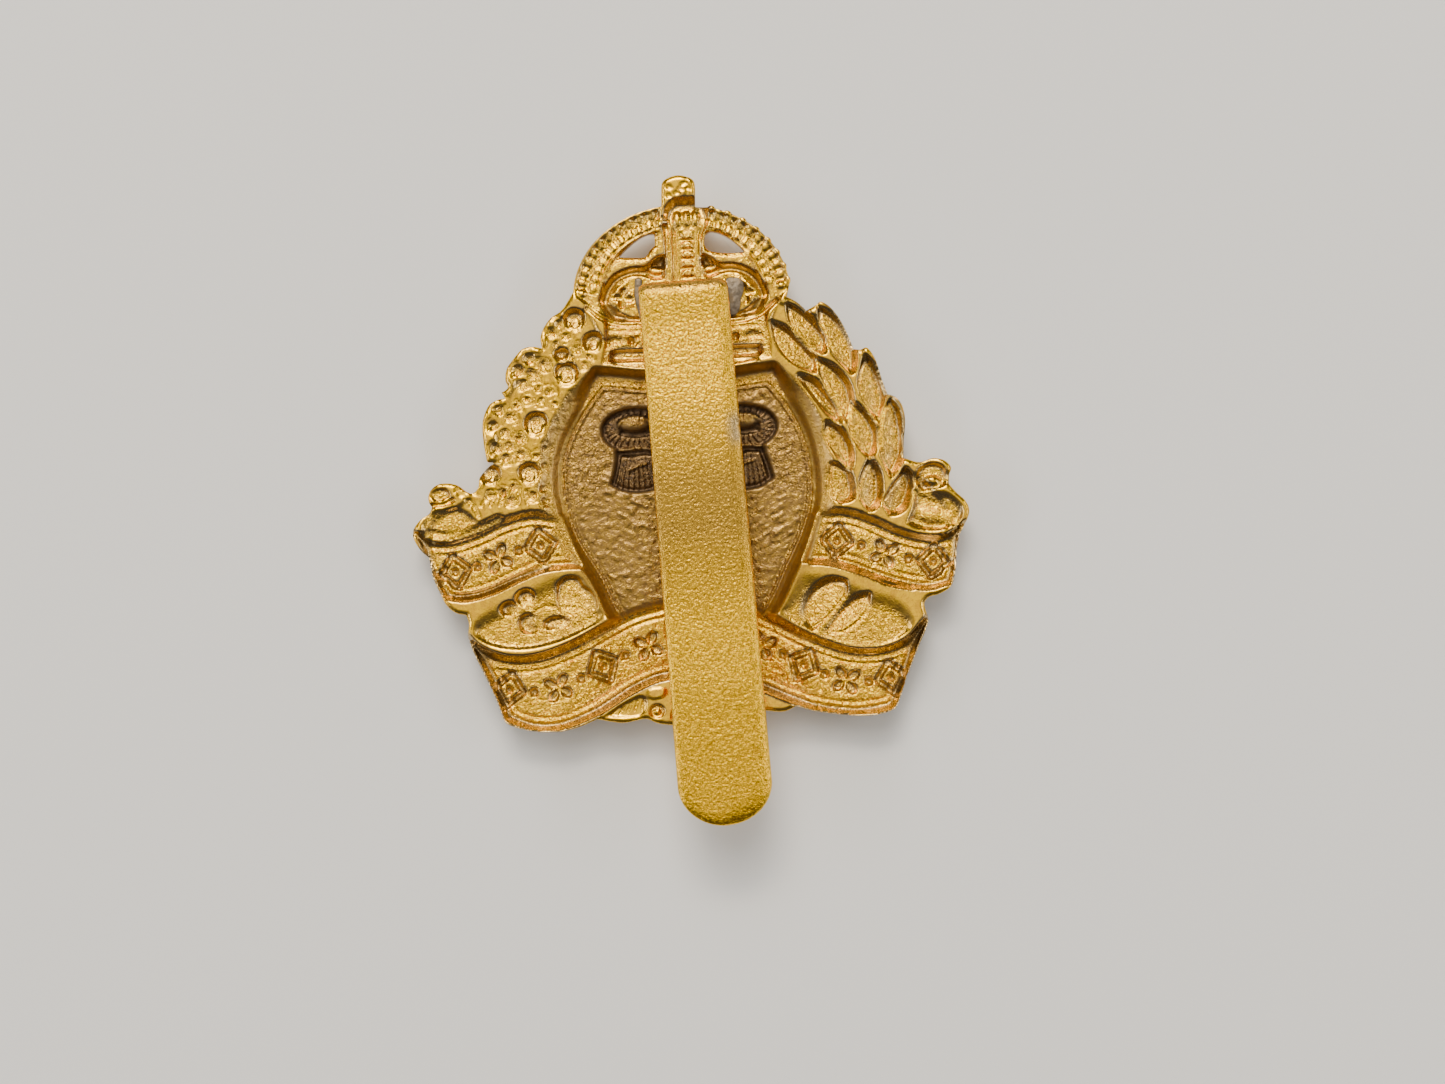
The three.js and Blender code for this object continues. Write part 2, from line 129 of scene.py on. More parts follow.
def distance_to_line(px, py, line, closed=False):
    """Distance to a polyline, and for a closed one whether a point is inside."""
    nearest = np.full(px.shape, 1e9)
    inside = np.zeros(px.shape, bool)
    ends = np.roll(line, -1, axis=0) if closed else line[1:]
    for (ax, ay), (bx, by) in zip(line, ends):
        ex, ey = bx - ax, by - ay
        square = ex * ex + ey * ey
        if square < 1e-12:
            continue
        t = np.clip(((px - ax) * ex + (py - ay) * ey) / square, 0, 1)
        nearest = np.minimum(nearest, (px - ax - t * ex) ** 2 + (py - ay - t * ey) ** 2)
        if closed and ay != by:
            crossed = (ay > py) != (by > py)
            inside ^= crossed & (px < ax + (py - ay) * ex / ey)
    return np.sqrt(nearest), inside


def signed_distance(points, reach=2.5):
    """Distance to an outline, negative inside it. Far from the outline it just says reach."""
    field = np.full(X.shape, reach)
    part = window(points.min(0) - reach, points.max(0) + reach)
    nearest, inside = distance_to_line(X[part], Y[part], points, closed=True)
    field[part] = np.where(inside, -nearest, nearest)
    return field


def noise(size, seed, stretch=1.0, angle=0.0, mirrored=False):
    """Smooth random waves from -1 to 1, about size across, drawn out along an angle in degrees."""
    table = np.random.RandomState(seed).uniform(-1, 1, (256, 256))
    a = math.radians(angle)
    x = np.abs(X) if mirrored else X
    u = (x * math.cos(a) + Y * math.sin(a)) / (size * stretch) + 97.3
    v = (-x * math.sin(a) + Y * math.cos(a)) / size + 61.7
    iu, iv = np.floor(u).astype(int), np.floor(v).astype(int)
    fu, fv = ease(u - iu), ease(v - iv)
    at = lambda di, dj: table[(iv + dj) % 256, (iu + di) % 256]
    low = at(0, 0) * (1 - fu) + at(1, 0) * fu
    high = at(0, 1) * (1 - fu) + at(1, 1) * fu
    return low * (1 - fv) + high * fv


def blurred(field, radius):
    """A Gaussian blur, its edges held."""
    pad = int(3 * radius / STEP) + 1
    kernel = np.exp(-0.5 * (np.arange(-pad, pad + 1) * STEP / radius) ** 2)
    kernel /= kernel.sum()
    for axis in (0, 1):
        padded = np.pad(field, [(pad, pad) if k == axis else (0, 0) for k in (0, 1)], "edge")
        total = np.zeros(field.shape)
        for k, weight in enumerate(kernel):
            cut = [slice(None), slice(None)]
            cut[axis] = slice(k, k + field.shape[axis])
            total += weight * padded[tuple(cut)]
        field = total
    return field


class Relief:
    """How deep the sheet is struck below its flange, as seen from the back."""

    def __init__(self):
        self.depth = np.full(X.shape, BORDER)

    def basin(self, distance, depth, wall, shift=0.0):
        """Sinks a zone to a depth. Its wall is centred that shift inside the outline."""
        share = ease(0.5 - (distance + shift) / wall)
        self.depth = self.depth * (1 - share) + depth * share

    def lower(self, distance, depth, wall):
        """Sinks a zone by a depth below what is there."""
        self.depth += depth * ease(0.5 - distance / wall)

    def line_beside(self, distance, offset, depth, width, mask=None):
        """A groove, or a ridge if depth is negative, at an offset from an outline."""
        line = depth * np.exp(-(((distance - offset) / (width / 2)) ** 2))
        self.depth += line if mask is None else line * mask

    def stroke(self, points, width, depth, soft=0.16, smooth=True):
        """A flat-floored cut, or a ridge if depth is negative, along a line through the points."""
        line = smooth_curve(points) if smooth else np.array(points, float)
        part = window(line.min(0) - width - soft, line.max(0) + width + soft)
        nearest, _ = distance_to_line(X[part], Y[part], line)
        self.depth[part] += depth * ease(0.5 + (width / 2 - nearest) / soft)

    def cup(self, x, y, half_width, half_height, depth, turn=0.0, power=1.0):
        """A round hollow, or a bump if depth is negative."""
        reach = max(half_width, half_height) + STEP
        part = window((x - reach, y - reach), (x + reach, y + reach))
        c, s = math.cos(turn), math.sin(turn)
        u = ((X[part] - x) * c + (Y[part] - y) * s) / half_width
        v = (-(X[part] - x) * s + (Y[part] - y) * c) / half_height
        self.depth[part] += depth * np.clip(1 - u * u - v * v, 0, 1) ** power

    def scoop(self, points, heading, low, high, walls=(0.2, 0.5), inset=0.0):
        """A hollow whose floor slopes down towards a heading in degrees, with a wider wall there."""
        distance = signed_distance(points, 1.2) + inset
        a = math.radians(heading)
        middle = (points.min(0) + points.max(0)) / 2
        reach = np.abs((points - middle) @ [math.cos(a), math.sin(a)]).max()
        far = ease(0.5 + 0.5 * ((X - middle[0]) * math.cos(a) + (Y - middle[1]) * math.sin(a)) / reach)
        share = np.clip(1 - distance / (walls[0] + (walls[1] - walls[0]) * far), 0, 1)
        self.depth = self.depth * (1 - share) + (low + (high - low) * far) * share
        return distance, far

    def pit(self, x, y, half_width, half_height, depth, turn=0.0, wall=0.2):
        """A flat-floored oval hollow with steep walls."""
        points = ellipse_points(0, 0, half_width, half_height)
        c, s = math.cos(turn), math.sin(turn)
        points = points @ np.array([[c, s], [-s, c]]) + [x, y]
        self.lower(signed_distance(points, 1.0), depth, wall)


# ---------------------------------------------------------------- outlines of the stamping

CROWN_Y = 12.9  # the level of the crown's widest place
CROWN_HALF_WIDTH, CROWN_HEIGHT = 8.65, 7.1  # how far its arches reach from there
ARC_POINTS = 24


def crown_arc(inset, start, end):
    """The crown's arches between two angles in degrees, drawn in by an inset."""
    half_width, height = CROWN_HALF_WIDTH - inset, CROWN_HEIGHT - inset
    arc = ellipse_points(0, CROWN_Y, half_width, height, start, end, ARC_POINTS)
    return [tuple(p) for p in arc]


def on_crown(share, angle):
    """The place at an angle in degrees on the crown's arches, drawn in to a share of their size."""
    a = math.radians(angle)
    return CROWN_HALF_WIDTH * share * math.cos(a), CROWN_Y + CROWN_HEIGHT * share * math.sin(a)


def around(x, y, reach, angle):
    """The place at that reach from (x, y), in a direction in radians."""
    return x + reach * math.cos(angle), y + reach * math.sin(angle)


# The stamping's edge, from the middle of its foot up the right side and down the left.
edge_outline = outline(
    (0, -21.6),
    [(2.4, -21.3), (5.2, -20.65)],
    [(6.7, -20.8), (7.7, -20.4)],
    [(9.5, -20.95), (12.5, -21.4), (14.3, -21.35), (15.5, -21.0), (15.95, -20.4)],
    [(16.8, -18.2), (17.6, -16.3), (18.3, -14.8), (18.6, -13.9)],
    [(18.35, -13.2), (18.3, -12.6), (18.7, -12.15), (19.5, -11.95), (20.35, -11.5), (20.7, -11.0)],
    [(20.95, -9.8), (21.1, -8.5), (21.35, -7.3)],
    [(21.9, -6.3), (22.2, -5.4), (21.9, -4.6), (21.2, -3.9), (20.65, -3.2)],
    [(20.7, -2.5), (20.9, -2.0), (20.7, -1.6), (20.2, -1.25), (19.4, -1.15), (18.4, -1.4), (17.15, -1.0)],
    [(17.25, 0.5), (17.4, 2.0), (17.2, 3.2), (16.7, 3.9), (16.1, 4.15)],
    [(15.7, 5.4), (15.3, 6.8), (14.9, 7.6), (14.55, 7.95), (14.1, 7.8), (13.55, 7.9)],
    [(13.1, 9.2), (12.5, 10.4), (11.8, 11.3), (11.1, 11.75), (10.7, 11.5), (9.9, 11.1)],
    [(9.3, 11.7), (8.7, 12.1), (8.35, 12.3)],
    crown_arc(0, 4, 81),
    [(1.42, 21.2)],
    [(1.35, 21.8), (0.95, 22.15), (0.1, 22.35), (-0.75, 22.15), (-1.15, 21.8), (-1.25, 21.2)],
    [(-1.3, 19.9)],
    crown_arc(0, 99, 176),
    [(-9.6, 12.0), (-10.5, 11.4), (-11.15, 10.6), (-11.4, 9.8), (-11.3, 9.0)],
    [(-12.1, 9.15), (-12.9, 9.0), (-13.6, 8.3), (-14.2, 7.5), (-14.35, 6.6), (-14.15, 6.0), (-14.7, 5.6)],
    [(-14.45, 5.15), (-15.0, 5.05), (-15.7, 4.7), (-16.15, 3.9), (-16.35, 3.0), (-16.3, 1.6), (-16.1, 0.15)],
    [(-15.5, 0.05)],
    [(-16.2, -0.4), (-16.75, -1.1), (-16.9, -1.9), (-17.4, -2.35), (-17.9, -2.2), (-18.6, -1.65),
     (-19.4, -1.45), (-20.2, -1.55), (-20.8, -2.1), (-20.9, -2.8), (-20.65, -3.3)],
    [(-20.9, -3.8), (-21.7, -4.35), (-22.25, -5.1), (-22.2, -5.8), (-21.7, -6.7), (-21.15, -7.3)],
    [(-20.85, -8.8), (-20.3, -10.2), (-19.8, -11.2), (-19.1, -11.8), (-18.3, -12.0)],
    [(-18.1, -12.8), (-18.3, -13.8)],
    [(-17.7, -15.4), (-16.9, -17.2), (-16.1, -19.2), (-15.75, -20.3)],
    [(-15.3, -20.9), (-13.5, -21.5), (-11.5, -21.65), (-9.8, -21.35), (-8.2, -20.75)],
    [(-6.2, -21.15), (-4.4, -20.9), (-3.4, -21.3), (-2.2, -21.5), (0, -21.6)],
)
void_outlines = [
    outline(
        (-5.0, 16.05),
        [(-3.9, 15.95), (-2.8, 15.97), (-2.35, 16.5), (-1.95, 16.85)],
        [(-1.95, 17.4), (-2.0, 17.85)],
        [(-2.6, 17.8), (-3.5, 17.35), (-4.4, 16.65), (-5.0, 16.05)],
    ),
    outline(
        (5.25, 16.05),
        [(4.1, 15.98), (2.9, 16.1), (2.2, 16.35), (1.95, 16.9), (2.05, 17.6), (2.5, 17.85)],
        [(3.1, 17.75), (3.8, 17.4), (4.6, 16.75), (5.25, 16.05)],
    ),
]
shield_outline = outline(
    (-7.1, 6.75),
    [(-5.4, 6.6), (-3.5, 6.35), (0, 6.1), (3.5, 6.2), (5.4, 6.4), (7.0, 6.55)],
    [(8.9, 4.0), (10.1, 1.3), (10.6, -1.5), (10.5, -4.2), (9.6, -7.0), (8.3, -9.6), (6.9, -12.4), (4.5, -16)],
    [(-4.5, -16)],
    [(-7.0, -12.8), (-8.2, -10.0), (-10.1, -6.6), (-10.9, -3.6), (-11.1, -1.2), (-10.6, 1.3), (-9.1, 4.2),
     (-7.1, 6.75)],
)
lower_scroll_outline = outline(
    (-18.3, -13.9),
    [(-17.2, -14.9), (-15.2, -15.7), (-12.8, -15.7), (-10.2, -14.9), (-7.5, -13.6), (-4.5, -12.3),
     (0, -11.6), (3.5, -12.2), (6.2, -13.4), (9, -14.9), (12, -16.1), (14.5, -16.3), (16.8, -15.6),
     (18.5, -14.0)],
    [(17.5, -16.5), (16.6, -18.8), (15.95, -20.4)],
    [(15.2, -21.1), (12.5, -21.4), (9.5, -20.95), (7.0, -20.0), (5.0, -19.1), (2.5, -18.2), (0, -17.9),
     (-2.8, -17.9), (-5.2, -18.8), (-8.2, -20.5), (-11, -21.5), (-13.5, -21.5), (-15.6, -20.6)],
    [(-16.7, -17.6), (-17.6, -15.5), (-18.3, -13.9)],
)
upper_scroll_outlines = [
    outline(
        (-10.4, -4.6),
        [(-12.8, -4.2), (-15, -4.65), (-17.2, -5.55), (-19.2, -6.1), (-20.8, -6.05), (-22.1, -5.4)],
        [(-21.5, -7.0), (-20.9, -8.7), (-20.0, -10.7)],
        [(-18.2, -10.95), (-16, -10.45), (-13.8, -9.5), (-11.5, -8.75), (-8.9, -8.7)],
        [(-10.4, -4.6)],
    ),
    outline(
        (10.2, -5.0),
        [(12.4, -5.1), (14.4, -5.8), (16.4, -6.8), (18.4, -7.4), (20.2, -7.4), (21.8, -6.5)],
        [(21.3, -7.6), (21.1, -9.0), (20.6, -11.2)],
        [(18.8, -11.6), (16.8, -11.3), (14.8, -10.6), (12.4, -9.6), (10.6, -9.1), (8.9, -9.0)],
        [(10.2, -5.0)],
    ),
]
lobe_outlines = [
    outline(
        (-7.0, -12.6),
        [(-9, -13.6), (-11.5, -14.5), (-14, -14.85), (-16.2, -14.5), (-17.6, -13.7), (-17.9, -13.0)],
        [(-17.2, -12.1), (-15.6, -11.3), (-13.4, -10.2), (-11.4, -9.3), (-9.6, -9.05), (-8.7, -9.5)],
        [(-7.8, -11.0), (-7.0, -12.6)],
    ),
    outline(
        (6.5, -12.9),
        [(8, -13.9), (10.2, -15.1), (12.8, -15.95), (15, -15.85), (16.8, -14.9), (17.4, -13.9)],
        [(16.9, -12.8), (15.5, -11.9), (13.2, -11.1), (11.4, -10.3), (9.4, -9.9), (8.6, -10.0)],
        [(7.6, -11.2), (6.5, -12.9)],
    ),
]
# Each laurel leaf by its tip, its left side down to its root, and its right side back up.
laurel_leaves = [
    [(7.05, 10.3), (7.2, 9.0), (7.8, 7.8), (8.8, 6.8), (10.3, 6.2),
     (10.35, 7.1), (9.5, 8.2), (8.3, 9.5)],
    [(8.4, 11.7), (8.4, 10.6), (8.9, 9.3), (9.9, 8.1), (11.1, 7.7),
     (11.2, 8.7), (10.6, 9.8), (9.4, 11.0)],
    [(10.9, 11.3), (10.85, 10.1), (11.3, 8.6), (12.1, 7.2), (13.3, 6.0),
     (13.45, 7.2), (13.05, 8.8), (12.1, 10.4)],
    [(9.0, 5.9), (9.7, 4.8), (10.5, 3.7), (11.2, 2.8), (12.1, 2.1),
     (12.0, 3.0), (11.3, 4.1), (10.3, 5.3)],
    [(10.65, 7.2), (10.75, 6.0), (11.2, 4.8), (11.8, 3.5), (12.7, 2.2),
     (13.05, 3.8), (12.75, 5.2), (11.9, 6.3)],
    [(14.4, 7.2), (13.85, 6.0), (13.7, 4.8), (14.2, 3.5), (15.2, 2.2),
     (15.65, 3.6), (15.5, 5.0), (15.0, 6.3)],
    [(13.1, 3.7), (12.8, 2.6), (12.9, 1.3), (13.4, 0.2), (14.4, -0.8),
     (14.85, 0.3), (14.75, 1.5), (14.1, 2.7)],
    [(16.3, 3.8), (15.5, 2.6), (15.2, 1.0), (15.3, -0.7), (16.1, -2.3),
     (16.8, -0.9), (17.0, 0.9), (16.8, 2.6)],
    [(11.1, 2.1), (10.9, 1.2), (11.3, 0.2), (11.9, -0.7), (12.8, -1.6),
     (12.85, -0.6), (12.7, 0.4), (12.1, 1.4)],
    [(11.3, -1.1), (11.1, -2.0), (11.1, -3.0), (11.25, -3.9), (12.1, -4.35),
     (12.8, -3.8), (12.8, -2.8), (12.4, -1.7)],
    [(14.4, -1.0), (13.8, -1.9), (13.45, -2.9), (13.5, -4.0), (14.2, -5.0),
     (14.9, -4.2), (15.05, -3.0), (14.9, -2.0)],
    [(17.2, -1.9), (16.5, -2.7), (15.8, -3.6), (15.3, -4.5), (15.9, -5.3),
     (16.8, -4.9), (17.3, -4.0), (17.5, -2.9)],
]
# An oak leaf is a cluster of round lobes: each by its middle and radius.
oak_leaves = [
    [(-10.6, 10.2, 0.75), (-9.9, 10.9, 0.6), (-10.2, 9.3, 0.6), (-9.4, 9.9, 0.6)],
    [(-8.5, 8.8, 0.7), (-7.6, 8.2, 0.5), (-8.0, 7.6, 0.5), (-9.1, 8.2, 0.5)],
    [(-12.4, 8.2, 0.72), (-13.3, 7.3, 0.75), (-12.2, 7.0, 0.7), (-11.3, 7.7, 0.6), (-13.0, 6.3, 0.6)],
    [(-10.9, 5.5, 0.65), (-11.8, 5.8, 0.6), (-11.6, 4.8, 0.6), (-10.5, 4.5, 0.55), (-12.7, 5.0, 0.5)],
    [(-15.0, 4.2, 0.72), (-14.2, 3.6, 0.7), (-15.5, 3.0, 0.65), (-14.6, 2.4, 0.7), (-13.6, 4.5, 0.5)],
    [(-15.3, 1.2, 0.7), (-14.3, 1.3, 0.65), (-13.5, 1.9, 0.6), (-14.6, 0.4, 0.6), (-13.4, 0.6, 0.65)],
    [(-11.5, 1.0, 0.55), (-12.2, 0.4, 0.55), (-11.6, -0.3, 0.5)],
    [(-15.0, -2.4, 0.65), (-14.1, -2.0, 0.6), (-14.3, -3.0, 0.6), (-15.9, -2.6, 0.5)],
    [(-12.6, -2.7, 0.6), (-11.8, -2.2, 0.55), (-11.7, -3.1, 0.5)],
]
# An acorn, by its middle, its radius and the direction that its deep end lies in, in degrees.
acorns = [
    (-8.65, 11.05, 0.86, 100), (-7.25, 9.2, 0.8, 105), (-9.5, 6.8, 1.0, 75), (-12.05, 2.85, 1.0, 105),
    (-15.85, -1.05, 0.76, 100), (-12.8, -1.05, 0.86, 90), (-9.8, 8.3, 0.5, 90),
]
lobe_leaves = [
    [(12.1, -10.6), (12.2, -11.6), (11.4, -12.7), (10.4, -13.7), (9.3, -14.4),
     (8.7, -13.0), (9.4, -11.5), (10.8, -10.6)],
    [(13.9, -11.8), (13.9, -12.9), (12.9, -14.1), (11.6, -14.8), (10.3, -14.7),
     (10.9, -13.9), (11.8, -12.9), (12.9, -12.1)],
]
# The sheaves on the shield, by the middle of each one's band.
SHEAVES = [(-4.2, 0.45), (4.45, 0.35), (0.2, -7.6)]

# ---------------------------------------------------------------- striking the relief

# How deep each zone lies.
WREATH, LEAF, LOBE, CROWN, ARCH = 0.3, 0.75, 0.42, 0.42, 0.62
UPPER_SCROLL, LOWER_SCROLL, RIM, FIELD, SHEAF = 1.0, 1.4, 1.86, 1.6, 2.4


def strike_leaf(relief, points, seed, low, high, up=-90):
    """A leaf's hollow: smooth walls, a doubled line along its shallow side, a veined and grained floor."""
    tip, root = np.array(points[0]), np.array(points[4])
    lie = math.degrees(math.atan2(*(tip - root)[::-1]))
    shape = outline(points[0], points[1:5], points[5:] + points[:1])
    distance, deep = relief.scoop(shape, lie + up, low, high, (0.14, 0.64), 0.14)
    for offset, depth, width in ((0.0, 0.14, 0.2), (-0.2, -0.1, 0.16), (-0.38, 0.08, 0.15)):
        relief.line_beside(distance, offset, depth, width, 1 - deep)
    relief.line_beside(distance, -0.02, 0.08, 0.18, deep)
    veins = 0.022 * noise(0.22, 50 + seed, 3.0, lie) + 0.02 * noise(0.3, 70 + seed, 1.3, lie + 30)
    relief.depth += ease(-distance / 0.25) * veins
    near_root = ease((2.1 - np.hypot(X - root[0], Y - root[1])) / 1.0)
    for inset in (0.28, 0.56):
        relief.line_beside(distance, -inset, 0.08, 0.15, near_root)


def strike_laurel(relief):
    for index, points in enumerate(laurel_leaves):
        strike_leaf(relief, points, index, WREATH + 0.18, LEAF + 0.27)


def strike_oak(relief):
    for index, group in enumerate(oak_leaves):
        leaf = np.minimum.reduce([np.hypot(X - x, Y - y) - r for x, y, r in group])
        relief.basin(leaf, WREATH + 0.09 + 0.04 * (index % 3), 0.75, 0.2)
        relief.line_beside(leaf, -0.02, 0.05, 0.17)
        relief.line_beside(leaf, -0.2, -0.05, 0.15)
        # From the leaf's middle, a fan of fine ribs runs out into each lobe.
        cx, cy = np.mean([lobe[:2] for lobe in group], axis=0)
        for x, y, r in group:
            out = math.atan2(y - cy, x - cx)
            for spread in (-0.7, 0, 0.7):
                rib = [around(x, y, -0.3 * r, out), around(x, y, 0.72 * r, out + spread)]
                relief.stroke(rib, 0.14, 0.06, 0.14)
    for x, y, radius, heading in acorns:
        relief.basin(np.hypot(X - x, Y - y) - radius, WREATH, 0.3, -0.1)
        shape = ellipse_points(x, y - 0.05, radius * 0.68, radius * 0.8)
        distance, _ = relief.scoop(shape, heading, WREATH + 0.1, WREATH + 0.6, (0.14, 0.46))
        relief.line_beside(distance, -0.12, -0.07, 0.15)
        relief.line_beside(distance, -0.3, 0.07, 0.15)
        relief.stroke([(x - 0.3, y - 0.3), (x - 0.1, y), (x + 0.2, y - 0.05)], 0.14, 0.1, 0.14)
        relief.stroke([(x - 0.05, y - 0.4), (x + 0.3, y - 0.3)], 0.14, 0.09, 0.14)


def strike_wreath(relief):
    left = outline(
        (-7.6, 12.0),
        [(-6.0, 8.0), (-6.2, 5.2), (-8.2, 1.6), (-8.7, -1.2), (-8.4, -4.6)],
        [(-13, -4.2), (-15, -4.6), (-17.4, -5.6), (-19.2, -6.0), (-20.9, -5.9)],
        [(-20.6, -4.4), (-18.4, -3.2), (-16.2, -1.4), (-15.3, 0.6), (-15.2, 3.2), (-13.6, 6.2), (-11.4, 8.8),
         (-10.2, 10.9), (-7.6, 12.0)],
    )
    right = outline(
        (7.6, 11.9),
        [(6.0, 8.0), (6.2, 5.2), (7.8, 1.6), (8.3, -1.2), (8.1, -5.2)],
        [(12.4, -5.1), (14.4, -5.8), (16.4, -6.8), (18.4, -7.4), (20.2, -7.4)],
        [(20.4, -5.2), (18.4, -2.6), (16.9, -1.6), (16.8, 0.8), (16.4, 3.6), (14.6, 7.2), (12.2, 10.4),
         (10.2, 10.8), (7.6, 11.9)],
    )
    for points in (left, right):
        relief.basin(signed_distance(points), WREATH, 0.5)
    strike_laurel(relief)
    strike_oak(relief)
    # The roots of the oak leaves: ribs that fan out from the foot of the wreath.
    for k in range(6):
        relief.stroke([(-16.8 + 0.75 * k, -3.4), (-15.9 + 0.55 * k, -2.2)], 0.16, 0.1, 0.14)


def strike_curls(relief):
    left_fold = outline(
        (-17.2, -4.6),
        [(-18.2, -3.7), (-19.6, -3.5), (-20.9, -3.9), (-21.6, -4.8)],
        [(-20.8, -5.4), (-19.2, -5.5), (-17.2, -4.6)],
    )
    distance = signed_distance(left_fold, 1.2)
    relief.lower(distance, 0.3, 0.5)
    relief.stroke([(-21.3, -5.4), (-19.4, -5.75), (-17.4, -5.2), (-15.4, -4.45)], 0.6, 0.35, 0.5)
    relief.pit(-20.0, -2.35, 0.72, 0.5, 0.3, 0.1, 0.35)
    relief.stroke([(-20.5, -3.15), (-19.7, -3.1), (-19.0, -2.8)], 0.3, 0.28, 0.25)
    relief.stroke([(-19.7, -1.95), (-19.35, -2.35), (-19.3, -2.8)], 0.2, 0.12, 0.16)
    relief.stroke([(-18.7, -2.0), (-18.0, -2.6), (-17.4, -3.3), (-17.0, -4.2)], 0.3, 0.12, 0.3)
    right_eye = outline(
        (18.1, -2.9),
        [(18.4, -1.95), (19.3, -1.5), (20.2, -1.8), (20.5, -2.6), (20.3, -3.2), (19.4, -3.5),
         (18.6, -3.5), (18.1, -2.9)],
    )
    relief.lower(signed_distance(right_eye, 1.2), 0.5, 0.55)
    relief.cup(19.4, -2.9, 0.8, 0.5, -0.42, -0.25)
    right_fold = outline(
        (18.0, -3.7),
        [(19.4, -4.2), (20.6, -4.5), (21.4, -5.4), (21.0, -6.4), (19.6, -6.8), (18.2, -6.6), (17.4, -6.1)],
        [(17.9, -4.9), (18.0, -3.7)],
    )
    relief.lower(signed_distance(right_fold, 1.2), 0.42, 0.7)
    relief.cup(19.3, -5.7, 1.7, 0.7, -0.22, -0.2)
    relief.stroke([(18.5, -3.5), (19.6, -4.0), (20.8, -4.4), (21.5, -5.3), (21.2, -6.4)], 0.5, 0.22, 0.5)


def strike_crown(relief):
    hollow = outline(
        (8.45, 12.9),
        crown_arc(0.2, 2, 178),
        [(-7.3, 12.1), (-6.2, 11.1), (-6.3, 9.2), (-6.6, 7.6)],
        [(-3.5, 7.1), (0, 7.0), (3.5, 7.1), (6.9, 7.6)],
        [(6.9, 9.4), (6.7, 10.9), (7.5, 11.8), (8.45, 12.9)],
    )
    relief.basin(signed_distance(hollow), CROWN, 0.3)
    strike_arches(relief)
    strike_crown_cap(relief)
    strike_crown_middle(relief)
    strike_crown_bands(relief)


def strike_arches(relief):
    """Two rows of pearls on each side arch, and the doubled line inside them."""
    rho = np.hypot(X / CROWN_HALF_WIDTH, np.maximum(Y - CROWN_Y, 0) / CROWN_HEIGHT)
    above = ease((Y - CROWN_Y - 0.2) / 0.6) * ease((np.abs(X - 0.3) - 1.6) / 0.5)
    band = lambda middle, width: np.exp(-(((rho - middle) / width) ** 2)) * above
    relief.depth += (ARCH - CROWN) * ease((rho - 0.8) / 0.02) * ease((1 - rho) / 0.07) * above
    relief.depth -= 0.18 * band(0.755, 0.013)
    relief.depth += 0.14 * band(0.782, 0.012)
    relief.depth += 0.12 * band(0.728, 0.01)
    for side in (-1, 1):
        for k in range(24):
            # Each row's pearls lie in the other's gaps.
            x, y = on_crown((0.925, 0.832)[k % 2], 4 + 3.5 * k)
            relief.cup(side * x, y, 0.42, 0.42, -0.24, power=0.7)


def strike_crown_middle(relief):
    """The upright arch between the voids, with its ladder of pearls, and the orb and cross on it."""
    pillar = outline(
        (-1.15, 13.6), [(-1.1, 15.5), (-1.15, 17.2), (-1.3, 18.4)], [(-0.2, 18.9), (1.4, 18.9), (2.3, 18.5)],
        [(1.75, 17.2), (1.8, 15.5), (1.9, 13.6)], [(-1.15, 13.6)],
    )
    relief.basin(signed_distance(pillar, 1.2), 0.82, 0.24)
    relief.stroke([(-0.85, 13.9), (-0.8, 16.4), (-0.75, 18.4)], 0.2, -0.2, 0.2)
    relief.stroke([(-0.45, 13.9), (-0.42, 16.4), (-0.5, 18.5)], 0.18, 0.16, 0.16)
    relief.stroke([(-0.2, 13.9), (-0.18, 16.4), (-0.2, 18.4)], 0.16, -0.12, 0.14)
    for x in (0.0, 1.2):
        relief.stroke([(x, 13.9), (x, 16.4), (x, 17.8)], 0.12, 0.16, 0.12)
    relief.stroke([(1.32, 13.9), (1.32, 16.4), (1.35, 18.2)], 0.16, -0.16, 0.16)
    relief.stroke([(1.65, 14.2), (1.6, 16.4), (1.75, 18.2)], 0.14, 0.12, 0.14)
    for k in range(5):
        y = 14.62 + 0.74 * k
        relief.stroke([(0.15, y - 0.37), (1.05, y - 0.37)], 0.13, 0.2, 0.12)
        relief.cup(0.6, y, 0.44, 0.32, -0.16, power=0.7)
        relief.cup(0.6, y + 0.02, 0.2, 0.14, 0.1)
    for x0, x1 in ((-0.9, -1.5), (-0.35, -0.5), (0.25, 0.1), (0.95, 1.1), (1.5, 2.2)):
        relief.stroke([(x0, 18.0), ((x0 + x1) / 2, 18.5), (x1, 18.75)], 0.14, 0.12, 0.14)
    orb = outline(
        (-0.85, 19.3), [(-0.55, 20.0), (-0.1, 20.4)], [(1.35, 20.4), (1.9, 20.0), (2.2, 19.2)],
        [(1.6, 18.4), (0.7, 18.2), (-0.2, 18.5), (-0.85, 19.3)],
    )
    relief.scoop(orb + [0, -0.35], 90, 0.75, 1.05, (0.2, 0.6))
    for x in (-0.1, 0.62, 1.35):
        relief.cup(x, 18.95, 0.42, 0.7, -0.3, power=0.8)
    for x, y in ((-0.65, 21.45), (0.5, 21.65), (0.95, 21.2), (-0.05, 20.95), (-0.7, 20.75), (0.8, 20.75)):
        relief.cup(x, y, 0.36, 0.26, 0.12, 0.4 * x, 0.8)
    relief.stroke([(0.1, 21.35), (0.5, 21.2), (0.95, 21.45), (0.7, 21.8)], 0.16, 0.12, 0.14)


